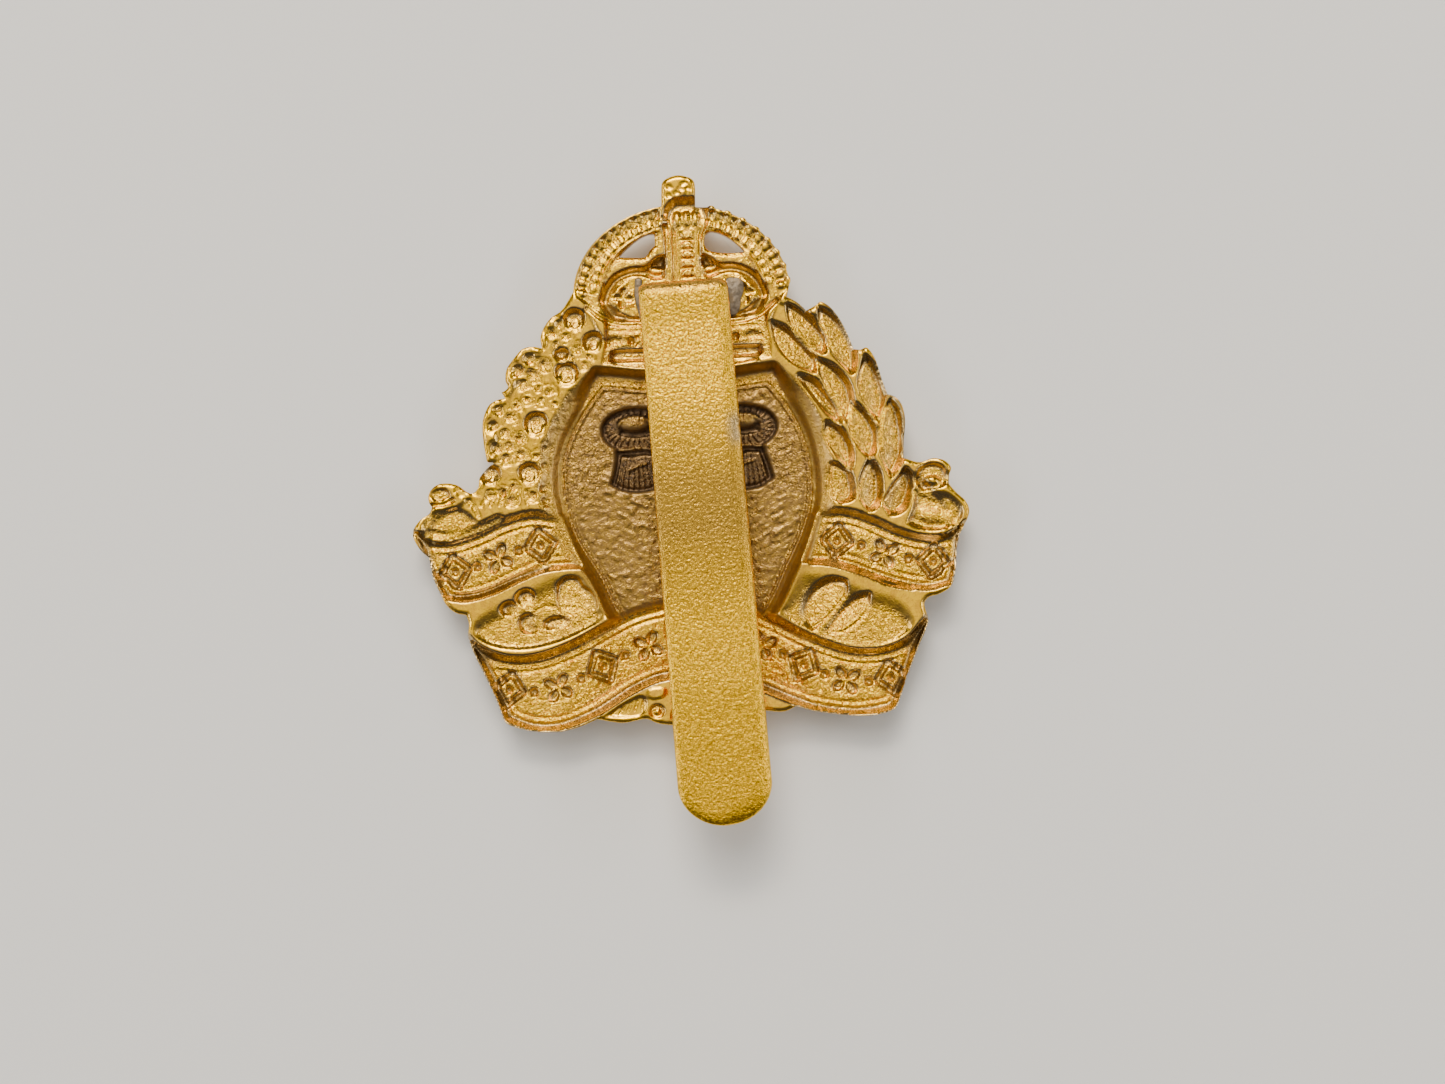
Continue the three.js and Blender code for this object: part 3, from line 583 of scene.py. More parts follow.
def strike_crown_cap(relief):
    """The cap between the arches and the circlet, with a plain four-petalled flower on each side."""
    for side in (-1, 1):
        place = lambda *points: [(side * x + 0.3 * (side > 0), y) for x, y in points]
        cap = outline(
            place((6.6, 12.6))[0],
            place((6.1, 13.8), (5.2, 14.7), (3.9, 15.15), (2.9, 15.2), (2.2, 15.55), (1.75, 15.95),
                  (1.2, 16.0)),
            place((1.1, 13.4), (1.1, 10.7)),
            place((3.6, 10.75), (5.6, 11.0), (6.6, 12.6)),
        )
        distance = signed_distance(cap)
        relief.basin(distance, 1.08, 0.55, 0.1)
        # The cap's cloth swells back up from the hollow that runs along the arch.
        swell = outline(
            place((6.0, 12.4))[0],
            place((5.6, 13.5), (4.9, 14.25), (3.9, 14.6), (2.9, 14.5), (2.0, 14.2), (1.2, 14.35)),
            place((1.2, 11.2)), place((4.2, 11.2), (6.0, 12.4)),
        )
        relief.basin(signed_distance(swell, 1.2), 0.78, 0.3)
        corner = outline(
            place((2.4, 15.2))[0],
            place((1.2, 15.15)), place((1.25, 15.95)), place((2.15, 15.7)), place((2.4, 15.2)),
        )
        relief.lower(signed_distance(corner, 1.0), 0.55, 0.25)
        relief.stroke(place((5.75, 12.6), (5.45, 13.5), (4.8, 14.1)), 0.16, 0.12, 0.14)
        relief.stroke(place((5.2, 12.3), (5.3, 13.0), (5.0, 13.6), (4.3, 14.0)), 0.14, -0.1, 0.14)
        relief.stroke(place((3.3, 14.2), (3.5, 13.4), (3.3, 12.4)), 0.18, 0.14, 0.16)
        relief.stroke(place((2.6, 14.75), (2.0, 14.5), (1.4, 14.6)), 0.14, 0.14, 0.12)
        relief.stroke(place((2.5, 14.95), (1.9, 14.8), (1.4, 14.95)), 0.14, -0.1, 0.12)
        relief.stroke(place((6.4, 12.2), (5.6, 11.5), (4.6, 11.25)), 0.2, 0.14, 0.16)
        ((x, y),) = place((4.7, 12.75))
        relief.cup(x, y, 0.95, 0.95, -0.12, power=0.6)
        for k in range(4):
            angle = 0.15 * side + k * math.pi / 2
            relief.pit(*around(x, y, 0.46, angle), 0.36, 0.25, 0.26, angle, 0.14)
        relief.cup(x, y, 0.2, 0.2, 0.2)


def strike_crown_bands(relief):
    """The circlet with its jewels, and the rolled band under it."""
    for side in (-1, 1):
        relief.stroke(
            [(side * 7.6, 12.1), (side * 6.3, 11.05), (side * 4.9, 10.6), (side * 3.0, 10.55), (0, 10.6)],
            0.22, 0.3, 0.2,
        )
        relief.stroke([(side * 6.0, 10.15), (side * 3.0, 10.1), (0, 10.1)], 0.16, 0.12, 0.14)
        jewel = outline(
            (side * 6.25, 9.35), [(side * 5.5, 9.62), (side * 4.75, 9.35)],
            [(side * 5.5, 9.08), (side * 6.25, 9.35)],
        )
        distance = signed_distance(jewel, 0.8)
        relief.lower(distance, 0.22, 0.14)
        relief.line_beside(distance, 0.1, 0.12, 0.12)
        relief.cup(side * 4.15, 9.3, 0.3, 0.3, 0.4, power=0.6)
        for y in (9.55, 9.05):
            relief.cup(side * 3.65, y, 0.16, 0.16, 0.25, power=0.6)
        relief.stroke([(side * 6.2, 8.85), (0, 8.75)], 0.14, 0.12, 0.12)
    band = outline(
        (-5.4, 8.65),
        [(0, 8.55), (5.6, 8.6), (6.1, 8.4), (6.2, 8.0), (5.9, 7.75)],
        [(0, 7.65), (-5.4, 7.75), (-5.85, 8.0), (-5.85, 8.4), (-5.4, 8.65)],
    )
    distance = signed_distance(band, 1.2)
    relief.lower(distance, 0.45, 0.34)
    relief.line_beside(distance, -0.32, 0.12, 0.2)


def strike_shield(relief):
    """The field, sunk inside a moulded rim."""
    distance = signed_distance(shield_outline, 3.0)
    # A smooth bevel runs down to it through the wreath.
    beside = ease((7.0 - Y) / 2.4) * ease((Y + 5.5) / 1)
    relief.depth += 0.55 * beside * ease(1 - distance / 1.2)
    top = ease((Y - 3.6) / 3.2)
    relief.basin(distance, RIM - 0.22, 1.0 - 0.2 * top, 0.36 - 0.7 * top)
    for offset, depth, width in ((-0.74, -0.15, 0.17), (-0.9, 0.13, 0.16), (-1.06, -0.16, 0.17)):
        relief.line_beside(distance, offset, depth, width)
    relief.basin(distance, FIELD, 0.2, 1.2)
    relief.line_beside(distance, -1.36, 0.07, 0.2)
    inside = ease(0.5 - (distance + 1.4) / 0.3)
    grain = 0.6 * noise(0.22, 11, 2.4, 26, mirrored=True) + 0.4 * noise(0.2, 12, 1.6, -20, mirrored=True)
    strokes = np.clip(noise(0.24, 13, 3.4, 28, mirrored=True) - 0.1, 0, 1)
    patches = ease(0.5 + 1.2 * noise(2.2, 14))
    relief.depth += inside * (0.06 * grain - 0.15 * strokes * patches)
    for x, y in SHEAVES:
        strike_sheaf(relief, x, y)


def strike_sheaf(relief, x, y):
    """A sheaf: a head of ears over a band, and stalks that spread below it."""
    before = relief.depth.copy()
    relief.basin(signed_distance(ellipse_points(x, y + 1.8, 2.75, 1.78), 1.2), SHEAF, 0.3)
    for k in range(26):
        angle = math.radians(k * 360 / 26)
        c, s = math.cos(angle), math.sin(angle)
        inner, outer = (x + 1.45 * c, y + 1.95 + 0.85 * s), (x + 2.4 * c, y + 1.8 + 1.5 * s)
        bend = ((inner[0] + outer[0]) / 2 + 0.12 * s, (inner[1] + outer[1]) / 2 - 0.12 * c)
        relief.stroke([inner, bend, outer], 0.22, -0.22, 0.2)
    # The band's bow stands up in the middle of the head, over a deep cut.
    relief.cup(x - 0.1, y + 2.35, 1.45, 0.72, -0.75, power=0.6)
    for k in range(-2, 3):
        relief.stroke([(x + 0.42 * k, y + 2.75), (x + 0.5 * k, y + 2.35)], 0.14, 0.1, 0.14)
    relief.stroke([(x - 1.2, y + 1.55), (x, y + 1.45), (x + 1.2, y + 1.5)], 0.26, 0.5, 0.2)
    skirt = outline(
        (x - 1.6, y + 0.2),
        [(x - 1.8, y - 1.2), (x - 2.2, y - 2.5)],
        [(x - 1.4, y - 3.0), (x, y - 3.25), (x + 1.4, y - 3.0), (x + 2.3, y - 2.4)],
        [(x + 2.0, y - 1.2), (x + 1.5, y + 0.2)],
        [(x - 1.6, y + 0.2)],
    )
    distance = signed_distance(skirt, 1.2)
    relief.basin(distance, SHEAF - 0.12, 0.26)
    relief.line_beside(distance, -0.22, 0.2, 0.24, ease((y + 0.4 - Y) / 0.4))
    for k in range(9):
        t = (k + 0.5) / 9 * 2 - 1
        stalk = [(x + 1.3 * t, y - 0.3), (x + 1.6 * t, y - 1.3), (x + 2.05 * t, y - 2.85)]
        relief.stroke(stalk, 0.2, -0.2, 0.18)
    relief.stroke([(x - 1.5, y + 0.05), (x - 0.4, y - 0.1), (x + 0.4, y + 0.1), (x + 1.5, y)], 0.5, 0.25, 0.3)
    relief.stroke([(x - 1.3, y + 0.2), (x, y + 0.3), (x + 1.3, y + 0.2)], 0.2, -0.5, 0.16)
    relief.stroke([(x - 0.7, y - 1.4), (x + 0.1, y - 1.1), (x + 0.8, y - 0.9)], 0.16, -0.25, 0.16)
    relief.depth = np.where(relief.depth > before, relief.depth, before)


def strike_scroll(relief, points, level, seed):
    distance = signed_distance(points, 2.0)
    above = ease(0.5 + np.gradient(distance, STEP)[0])
    wall = 0.45 + 0.4 * above
    relief.basin(distance, level, wall, 0.35 - wall / 2)
    for offset, depth, width in ((-0.5, 0.1, 0.16), (-0.78, -0.1, 0.16), (-1.0, 0.1, 0.14)):
        relief.line_beside(distance, offset, depth, width)
    inside = ease(0.5 - (distance + 1.15) / 0.2)
    relief.depth += inside * (0.03 * noise(0.26, seed) + 0.02 * noise(0.5, seed + 1) - 0.05)


def rosette(relief, x, y, turn):
    """Four struck petals round a pellet."""
    for k in range(4):
        angle = turn + math.pi / 4 + k * math.pi / 2
        relief.pit(*around(x, y, 0.72, angle), 0.5, 0.34, 0.4, angle, 0.18)
    relief.cup(x, y, 0.3, 0.3, 0.3, power=0.6)


def lozenge(relief, x, y, turn):
    """A struck lozenge frame with a pellet in it."""
    c, s = math.cos(turn), math.sin(turn)
    corners = [(1.15, 0), (0, 1.3), (-1.15, 0), (0, -1.3), (1.15, 0)]
    points = [(x + u * c - v * s, y + u * s + v * c) for u, v in corners]
    relief.stroke(points, 0.42, 0.42, 0.17, smooth=False)
    relief.cup(x, y, 0.34, 0.34, 0.36, power=0.6)


def pellet(relief, x, y, _turn):
    relief.cup(x, y, 0.38, 0.38, 0.4, power=0.6)


def ornament(relief, middle, pattern):
    """A row of plain struck devices along a scroll's middle line."""
    for (x, y, turn), device in zip(along(middle, len(pattern)), pattern):
        device(relief, x, y, turn)


def strike_scrolls(relief):
    for points, seed in zip(upper_scroll_outlines, (21, 23)):
        strike_scroll(relief, points, UPPER_SCROLL, seed)
    # The lower scroll dips where it crosses over the shield's foot.
    dip = 0.6 * ease((9.5 - np.abs(X)) / 4)
    strike_scroll(relief, lower_scroll_outline, LOWER_SCROLL + dip, 25)
    left_foot = [(-19.2, -10.5), (-17.0, -10.25), (-14.5, -9.35), (-12.4, -8.75), (-10.6, -8.6)]
    relief.stroke(left_foot, 0.22, 0.22, 0.2)
    right_foot = [(9.4, -9.0), (11.0, -9.2), (12.6, -9.7), (14.0, -10.25), (15.6, -11.0), (17.4, -11.4)]
    relief.stroke(right_foot, 0.26, 0.34, 0.2)
    row = [lozenge, pellet, rosette, pellet, lozenge]
    ornament(relief, [(-11.3, -6.6), (-14.2, -7.1), (-17.0, -8.1), (-20.0, -8.7)], row)
    ornament(relief, [(10.6, -7.2), (13.4, -7.8), (16.4, -8.9), (20.2, -9.5)], row)
    long_row = [lozenge, pellet, rosette, pellet, lozenge, pellet, rosette]
    ornament(relief, [(-16.2, -18.0), (-13, -18.5), (-10, -17.8), (-6.4, -16.1), (-3.0, -14.9)], long_row)
    ornament(relief, [(16.4, -18.4), (13, -18.8), (10, -18.0), (7.0, -16.4), (4.4, -15.2)], long_row)


def strike_lobes(relief):
    """The folded-back ends of the ribbon, with an oak sprig on one and two laurel leaves on the other."""
    for points in lobe_outlines:
        distance = signed_distance(points, 2.0)
        above = blurred(ease(0.5 + np.gradient(distance, STEP)[0]), 0.5)
        wall = 0.6 + 1.2 * above
        relief.basin(distance, LOBE + 0.06, wall, wall / 2 - 0.3)
    cups = [
        (ellipse_points(-13.5, -11.0, 0.62, 0.6), 115), (ellipse_points(-14.75, -11.75, 0.6, 0.42), 140),
        (ellipse_points(-13.1, -12.9, 0.85, 0.66), 190), (ellipse_points(-10.95, -13.1, 1.0, 0.42), 110),
    ]
    for shape, heading in cups:
        distance, _ = relief.scoop(shape, heading, LOBE + 0.08, LOBE + 0.5, (0.14, 0.34))
        relief.line_beside(distance, -0.22, 0.07, 0.15)
    leaf = outline(
        (-10.75, -10.0),
        [(-10.2, -9.55), (-9.4, -9.6), (-9.0, -10.2), (-8.3, -10.7), (-7.9, -11.6), (-8.4, -12.5),
         (-9.6, -12.9), (-10.6, -12.3), (-10.85, -11.2), (-10.75, -10.0)],
    )
    distance, _ = relief.scoop(leaf, 120, LOBE + 0.04, LOBE + 0.42, (0.14, 0.3))
    for k in range(4):
        vein = [(-10.5 + 0.1 * k, -10.7 - 0.3 * k), (-9.4 + 0.1 * k, -11.0 - 0.3 * k)]
        relief.stroke(vein, 0.15, 0.1, 0.14)
    relief.stroke([(-12.9, -12.0), (-11.9, -11.6), (-11.0, -11.7), (-9.0, -11.9)], 0.16, 0.1, 0.14)
    for points in lobe_leaves:
        strike_leaf(relief, points, 30, LOBE + 0.04, LOBE + 0.5, up=90)


def strike_foot_sprig(relief):
    """The leaves that show under the lower scroll at its middle."""
    relief.cup(-3.4, -18.9, 0.9, 0.5, -0.2, 0.1)
    leaf = outline((-7.6, -20.6), [(-6.0, -19.6), (-4.6, -19.1), (-4.2, -19.9), (-5.0, -20.7), (-7.6, -20.6)])
    relief.lower(signed_distance(leaf, 1.0), 0.2, 0.25)
    for k in range(5):
        vein = [(-7.0 + 0.6 * k, -20.5 + 0.1 * k), (-6.4 + 0.5 * k, -19.9 + 0.15 * k)]
        relief.stroke(vein, 0.12, 0.1, 0.12)
    relief.pit(-3.4, -20.35, 0.55, 0.5, 0.3, 0, 0.25)
    relief.cup(-3.4, -20.4, 0.4, 0.35, -0.25)
    for k in range(7):
        relief.stroke([(-2.2 + 1.1 * k, -20.9), (-1.8 + 1.1 * k, -19.4)], 0.16, 0.1, 0.14)


def wear_and_grain(relief, edge_distance):
    """The sheet's own unevenness, and the rounding of its sheared edge."""
    # Tightly curled lines cover the oak side.
    oak = ease((-X - 7) / 2) * ease((Y + 4.6) / 1.5) * ease((12.5 - Y) / 1)
    curled = np.sin(18 * (noise(1.5, 31) + 0.5 * noise(0.8, 32)))
    relief.depth += oak * (0.02 * curled + 0.015 * noise(0.28, 36))
    struck = ease((relief.depth - 0.3) / 0.1)
    relief.depth += (0.004 + 0.009 * struck) * noise(0.26, 33) + 0.025 * noise(1.6, 34)
    relief.depth += 0.16 * (1 - ease(-edge_distance / 0.3))


def strike_plate(edge_distance):
    relief = Relief()
    strike_wreath(relief)
    strike_curls(relief)
    strike_crown(relief)
    strike_lobes(relief)
    strike_shield(relief)
    strike_foot_sprig(relief)
    strike_scrolls(relief)
    wear_and_grain(relief, edge_distance)
    return np.clip(relief.depth, 0.02, FLANGE - SHEET)


# ---------------------------------------------------------------- meshes


def make_object(name, verts, faces):
    mesh = bpy.data.meshes.new(name)
    mesh.from_pydata(verts, [], faces)
    mesh.validate()
    mesh.update()
    mesh.shade_smooth()
    obj = bpy.data.objects.new(name, mesh)
    bpy.context.scene.collection.objects.link(obj)
    return obj


def add_attributes(obj, **fields):
    """Values at the mesh's points, for its material to read."""
    for name, values in fields.items():
        attribute = obj.data.attributes.new(name, "FLOAT", "POINT")
        attribute.data.foreach_set("value", np.asarray(values, np.float32))


def chosen_cells(distance):
    """The cells of the field whose middle lies on the sheet, with no two that touch only at a corner."""
    middle = (distance[:-1, :-1] + distance[1:, :-1] + distance[:-1, 1:] + distance[1:, 1:]) / 4
    cells = middle < 0
    for _ in range(4):
        a, b, c, d = cells[:-1, :-1], cells[:-1, 1:], cells[1:, :-1], cells[1:, 1:]
        cells[:-1, 1:] |= a & d & ~b & ~c
        cells[:-1, :-1] |= b & c & ~a & ~d
    return cells


def sheet_mesh(name, distance, top, bottom, origin):
    """A closed sheet between two height fields, cut where distance is zero."""
    cells = chosen_cells(distance)
    rows, cols = distance.shape
    used = np.zeros((rows, cols), bool)
    around = np.zeros((rows, cols), int)
    for di in (0, 1):
        for dj in (0, 1):
            used[di : rows - 1 + di, dj : cols - 1 + dj] |= cells
            around[di : rows - 1 + di, dj : cols - 1 + dj] += cells
    number = -np.ones((rows, cols), int)
    number[used] = np.arange(used.sum())
    gy, gx = np.gradient(distance, STEP)
    length = np.maximum(gx * gx + gy * gy, 0.25)
    rim = used & (around < 4)
    shift = np.where(rim, np.clip(distance, -1.2 * STEP, 1.2 * STEP), 0) / length
    px, py = X - shift * gx, Y - shift * gy
    plan = np.column_stack([px[used], py[used]]) + origin
    count = len(plan)

    i, j = np.nonzero(cells)
    quads = np.column_stack([number[i, j], number[i, j + 1], number[i + 1, j + 1], number[i + 1, j]])
    padded = np.pad(cells, 1)
    sides = []
    for (di, dj), (a, b) in {(-1, 0): (0, 1), (0, 1): (1, 2), (1, 0): (2, 3), (0, -1): (3, 0)}.items():
        open_side = ~padded[i + 1 + di, j + 1 + dj]
        sides.append(quads[open_side][:, [a, b]])
    sides = np.vstack(sides)

    # Between the two faces run two more rings of points, close to each face, for the sheared wall.
    ring = np.unique(sides)
    place = np.zeros(count, int)
    place[ring] = np.arange(len(ring))
    high, low = top[used], bottom[used]
    outward = np.column_stack([gx[used], gy[used]])[ring] * 0.03
    wall = [
        np.column_stack([plan[ring] + outward, high[ring] - 0.1]),
        np.column_stack([plan[ring] + outward, low[ring] + 0.1]),
    ]
    verts = np.vstack([np.column_stack([plan, high]), np.column_stack([plan, low])] + wall) * MM
    a, b = sides[:, 0], sides[:, 1]
    ring_a, ring_b = place[a] + 2 * count, place[b] + 2 * count
    step = len(ring)
    faces = np.vstack([
        quads,
        quads[:, ::-1] + count,
        np.column_stack([b, a, ring_a, ring_b]),
        np.column_stack([ring_b, ring_a, ring_a + step, ring_b + step]),
        np.column_stack([ring_b + step, ring_a + step, a + count, b + count]),
    ])
    obj = make_object(name, verts.tolist(), faces.tolist())
    spread = lambda field: np.concatenate([field[used], field[used], field[used][ring], field[used][ring]])
    return obj, spread


plate_box = [np.array(corner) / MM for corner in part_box("badge_plate")]
drawn_middle = (edge_outline.min(0) + edge_outline.max(0)) / 2
ORIGIN = (plate_box[0][:2] + plate_box[1][:2]) / 2 - drawn_middle  # where the crown's centre line lies


def badge_plate():
    edge = signed_distance(edge_outline)
    for points in void_outlines:
        edge = np.maximum(edge, -signed_distance(points, 1.5))
    # The pearls of the right arch stand out of its edge.
    for k in range(8):
        x, y = on_crown(0.972, 6 + 9.4 * k)
        edge = np.minimum(edge, np.hypot(X - x, Y - y) - 0.36)
    depth = strike_plate(edge)
    top = FLANGE - depth
    bottom = np.maximum(top - SHEET, 0)
    obj, spread = sheet_mesh("badge_plate_struck", edge, top, bottom, ORIGIN)
    smooth = blurred(depth, 0.13)
    near, wide = smooth - blurred(depth, 0.24), depth - blurred(depth, 0.9)
    gy, gx = np.gradient(smooth, STEP)
    # Walls that face the foot, away from the lamp, count more towards the wall colour: painted shade.
    slope = np.hypot(gx, gy)
    foot_facing_shade = 0.4 + 0.6 * ease(0.5 - gy / (slope + 0.05))
    outside = signed_distance(shield_outline, 2.0)
    shield = np.where(outside > -0.9, 0.55 * ease(1 - outside / 1.6), 1)
    scroll = ease(0.5 - signed_distance(lower_scroll_outline, 1.0) / 0.4)
    crown = ease((Y - 10.2) / 1.5) * ease((9.5 - np.abs(X)) / 1.5)
    calm = ease(0.45 + noise(2.6, 35) - Y / 16) * ease(-0.5 - outside)
    level = ease((depth - 0.32) / 0.1) * (1 - 0.9 * ease((slope - 0.3) / 0.4))
    add_attributes(
        obj,
        hollow=np.clip(0.5 + 2.6 * spread(near) + 0.45 * spread(wide), 0, 1),
        ridge=np.clip(-14 * spread(near) - 0.15, 0, 1),
        # Slope, weighted to walls that face the foot: the walls' toning and their painted shade.
        steepness=np.clip(spread(slope * foot_facing_shade) / 1.5, 0, 1),
        toning=spread(shield * (1 - 0.85 * scroll)),
        grained=spread(level * (1 - 0.6 * crown) * (1 - 0.65 * calm)),
        # The deepest zones are darkened: grime, with painted shade.
        grime=spread(ease((depth - 1.8) / 0.22) * (1 - scroll)),
    )
    return obj, depth


# ---------------------------------------------------------------- the slider

STRIP_TILT = math.radians(2.33)
STRIP_SPLAY = math.radians(1.4)
STRIP_LENGTH = 43.05
STRIP_THICK = 0.9
STRIP_WIDTHS = (7.0, 7.45)
STRIP_START = np.array([0.14, 13.75])
TIP_LENGTH = 3.3
FOOT_LENGTH = 3.2
BEND = 0.62  # radius of the strip's middle line at its bends
TIP_ROWS, FOOT_ROWS, BEND_ROWS, TONGUE_ROWS, COLUMNS = 25, 8, 40, 190, 61  # of the strip's mesh
UNDER_ROUND = 0.2  # rounding of the strip's inner edges
SOLDER_FILM = 0.12  # between the plate and the strip's foot
STAND_OFF = 2.1  # from the plate to the tongue's underside, where the tongue starts
BOW, BOW_START, BOW_SPAN, BOW_END = 0.11, 6.7, 25.0, 32.0  # how the blank was left slightly wavy


def strip_path(low, high):
    """The strip's middle line seen edge on, from the foot's end to the tip: (down the strip, height)."""
    half = STRIP_THICK / 2
    foot, top = low + half, high + half
    straight = half + BEND
    quarter = [math.pi / 2 * k / 8 for k in range(9)]
    points = [(FOOT_LENGTH, foot), (straight, foot)]
    points += [around(straight, foot + BEND, BEND, -math.pi / 2 - a) for a in quarter[1:]]
    points += [around(straight, top - BEND, BEND, math.pi - a) for a in quarter]
    rise = math.tan(STRIP_SPLAY)
    for s in np.linspace(straight, STRIP_LENGTH, 150)[1:]:
        wave = 2 * math.pi * (min(s, BOW_END) - BOW_START) / BOW_SPAN
        bow = BOW * (math.sin(wave) * ease((s - straight) / 3) - 0.75 * max(0, s - BOW_END) / BOW_SPAN)
        points.append((s, top + (s - straight) * rise + bow))
    return np.array(points)


def strip_faces(n, m):
    """The faces of two grids of n rows by m columns, the first over the second, joined round the edge."""
    at = lambda i, j: i * m + j
    faces = []
    for i in range(n - 1):
        for j in range(m - 1):
            quad = [at(i, j), at(i + 1, j), at(i + 1, j + 1), at(i, j + 1)]
            faces.append(quad)
            faces.append([q + n * m for q in reversed(quad)])
    loop = [at(i, 0) for i in range(n)] + [at(n - 1, j) for j in range(1, m)]
    loop += [at(i, m - 1) for i in range(n - 2, -1, -1)] + [at(0, j) for j in range(m - 2, 0, -1)]
    for a, b in zip(loop, loop[1:] + loop[:1]):
        faces.append([b, a, a + n * m, b + n * m])
    return faces


def slider():
    low, _ = [np.array(c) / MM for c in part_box("slider")]
    path = strip_path(low[2], low[2] - SOLDER_FILM + STAND_OFF)
    run = np.concatenate([[0], np.cumsum(np.hypot(*np.diff(path, axis=0).T))])
    total = run[-1]
    # Rows are close together at the tip, where the end is rounded.
    straight = total - TIP_LENGTH
    tip = np.sin(np.linspace(0, math.pi / 2, TIP_ROWS + 1)[1:])
    tip[-1] = 0.9995  # the last row keeps a little width
    bend_end = np.interp(1.4, path[20:, 0], run[20:])
    rows = np.concatenate([
        [0.0, 0.08, 0.2],
        np.linspace(0.4, FOOT_LENGTH - 1.4, FOOT_ROWS),
        np.linspace(FOOT_LENGTH - 1.3, bend_end, BEND_ROWS),
        np.linspace(bend_end, straight, TONGUE_ROWS)[1:],
        straight + TIP_LENGTH * tip,
    ])
    columns = np.sin(np.linspace(-math.pi / 2, math.pi / 2, COLUMNS))
    t = np.clip(rows / total, 0, 1)
    width = STRIP_WIDTHS[0] * (1 - t) + STRIP_WIDTHS[1] * t
    into = np.clip((rows - straight) / TIP_LENGTH, 0, 1)
    half = width / 2 * np.sqrt(np.maximum(1 - into**2, 1e-4))
    S, V = np.meshgrid(rows, columns, indexing="ij")
    across = V * half[:, None]
    # Distance in from the blank's edge, which is straight along the strip and oval at its tip.
    side = half[:, None] - np.abs(across)
    reach = np.sqrt(np.maximum((across / (width[:, None] / 2)) ** 2 + into[:, None] ** 2, 1e-9))
    oval = (1 - reach) * (TIP_LENGTH * 0.95)
    inside = np.where(into[:, None] > 0, np.minimum(side * 1.2, oval), side)
    inside = np.minimum(inside, rows[:, None] + 0.02)
    inside = np.maximum(inside, 0)
    # The outer edge is worn round, more so towards the tip and along the right.
    worn = ease((rows - (total - 9.0)) / 9.0)[:, None]
    right = ease(0.5 + across)
    radius = 0.6 + 0.6 * right + 0.35 * worn
    drop = 0.3 + 0.2 * right + 0.04 * worn
    gap = np.clip(1 - inside / radius, 0, 1)
    crown = 0.1 * np.abs(across / (width[:, None] / 2)) ** 5
    upper = STRIP_THICK / 2 - drop * (1 - np.sqrt(np.maximum(1 - gap**2, 0))) - crown
    gap = np.clip(1 - inside / UNDER_ROUND, 0, 1)
    under = -STRIP_THICK / 2 + UNDER_ROUND * (1 - np.sqrt(np.maximum(1 - gap**2, 0)))

    px, pz = (np.interp(S, run, p) for p in path.T)
    # The path's direction, from the places just after and just before each row.
    near = 0.04
    tx, tz = (np.interp(S + near, run, p) - np.interp(S - near, run, p) for p in path.T)
    norm = np.hypot(tx, tz)
    tx, tz = tx / norm, tz / norm
    down = np.array([math.sin(STRIP_TILT), -math.cos(STRIP_TILT)])
    sideways = np.array([-down[1], down[0]])

    def surface(height):
        s = px - tz * height
        z = pz + tx * height
        plan = STRIP_START + ORIGIN + s[..., None] * down + across[..., None] * sideways
        return np.concatenate([plan, z[..., None]], axis=-1).reshape(-1, 3)

    verts = np.vstack([surface(upper), surface(under)]) * MM
    obj = make_object("slider_strip", verts.tolist(), strip_faces(*S.shape))
    twice = lambda field: np.tile(field.ravel(), 2)
    add_attributes(
        obj,
        edge=twice(np.exp(-inside / 0.35)),
        run=twice(S / total),
        bend=twice(np.abs(tz)),
        side=twice(V),
    )
    return obj


# ---------------------------------------------------------------- the solder

SOLDER_LEAST_TOP = 3.1  # it fills the deeper hollows under it up to this height
SOLDER_BOTTOM = 2.35  # hidden inside the sheet


def solder_joint(depth):
    """Solder that ran out under the slider's foot: a patch on one side, a sliver on the other."""
    film = outline(
        (-3.65, 14.3),
        [(-3.75, 13.4), (-3.7, 12.4), (-3.45, 11.4), (-3.1, 11.0), (0, 10.8), (3.2, 10.9), (4.1, 11.0),
         (4.55, 11.5), (4.7, 12.3), (4.95, 13.0), (4.9, 13.7), (4.5, 14.0), (3.7, 14.0), (3.2, 13.6),
         (0, 13.5), (-2.9, 13.55), (-3.15, 14.2), (-3.65, 14.3)],
    )
    distance = signed_distance(film, 1.0)
    swell = ease(-distance / 0.7)
    strip_side = STRIP_START[0] + 3.42 + (13.5 - Y) * math.tan(STRIP_TILT)
    climb = np.exp(-np.maximum(X - strip_side, 0) / 0.4) * ease((X - 2.5) / 0.5)
    top = FLANGE - blurred(depth, 0.35) + 0.02 + 0.25 * swell + 0.6 * climb * swell
    top = np.maximum(top, SOLDER_LEAST_TOP + 0.1 * swell)
    top += 0.03 * noise(0.5, 41) + 0.03 * noise(0.24, 42)
    bottom = np.full(top.shape, SOLDER_BOTTOM)
    obj, _ = sheet_mesh("solder_fillet", distance, top, bottom, ORIGIN)
    return obj


# ---------------------------------------------------------------- materials


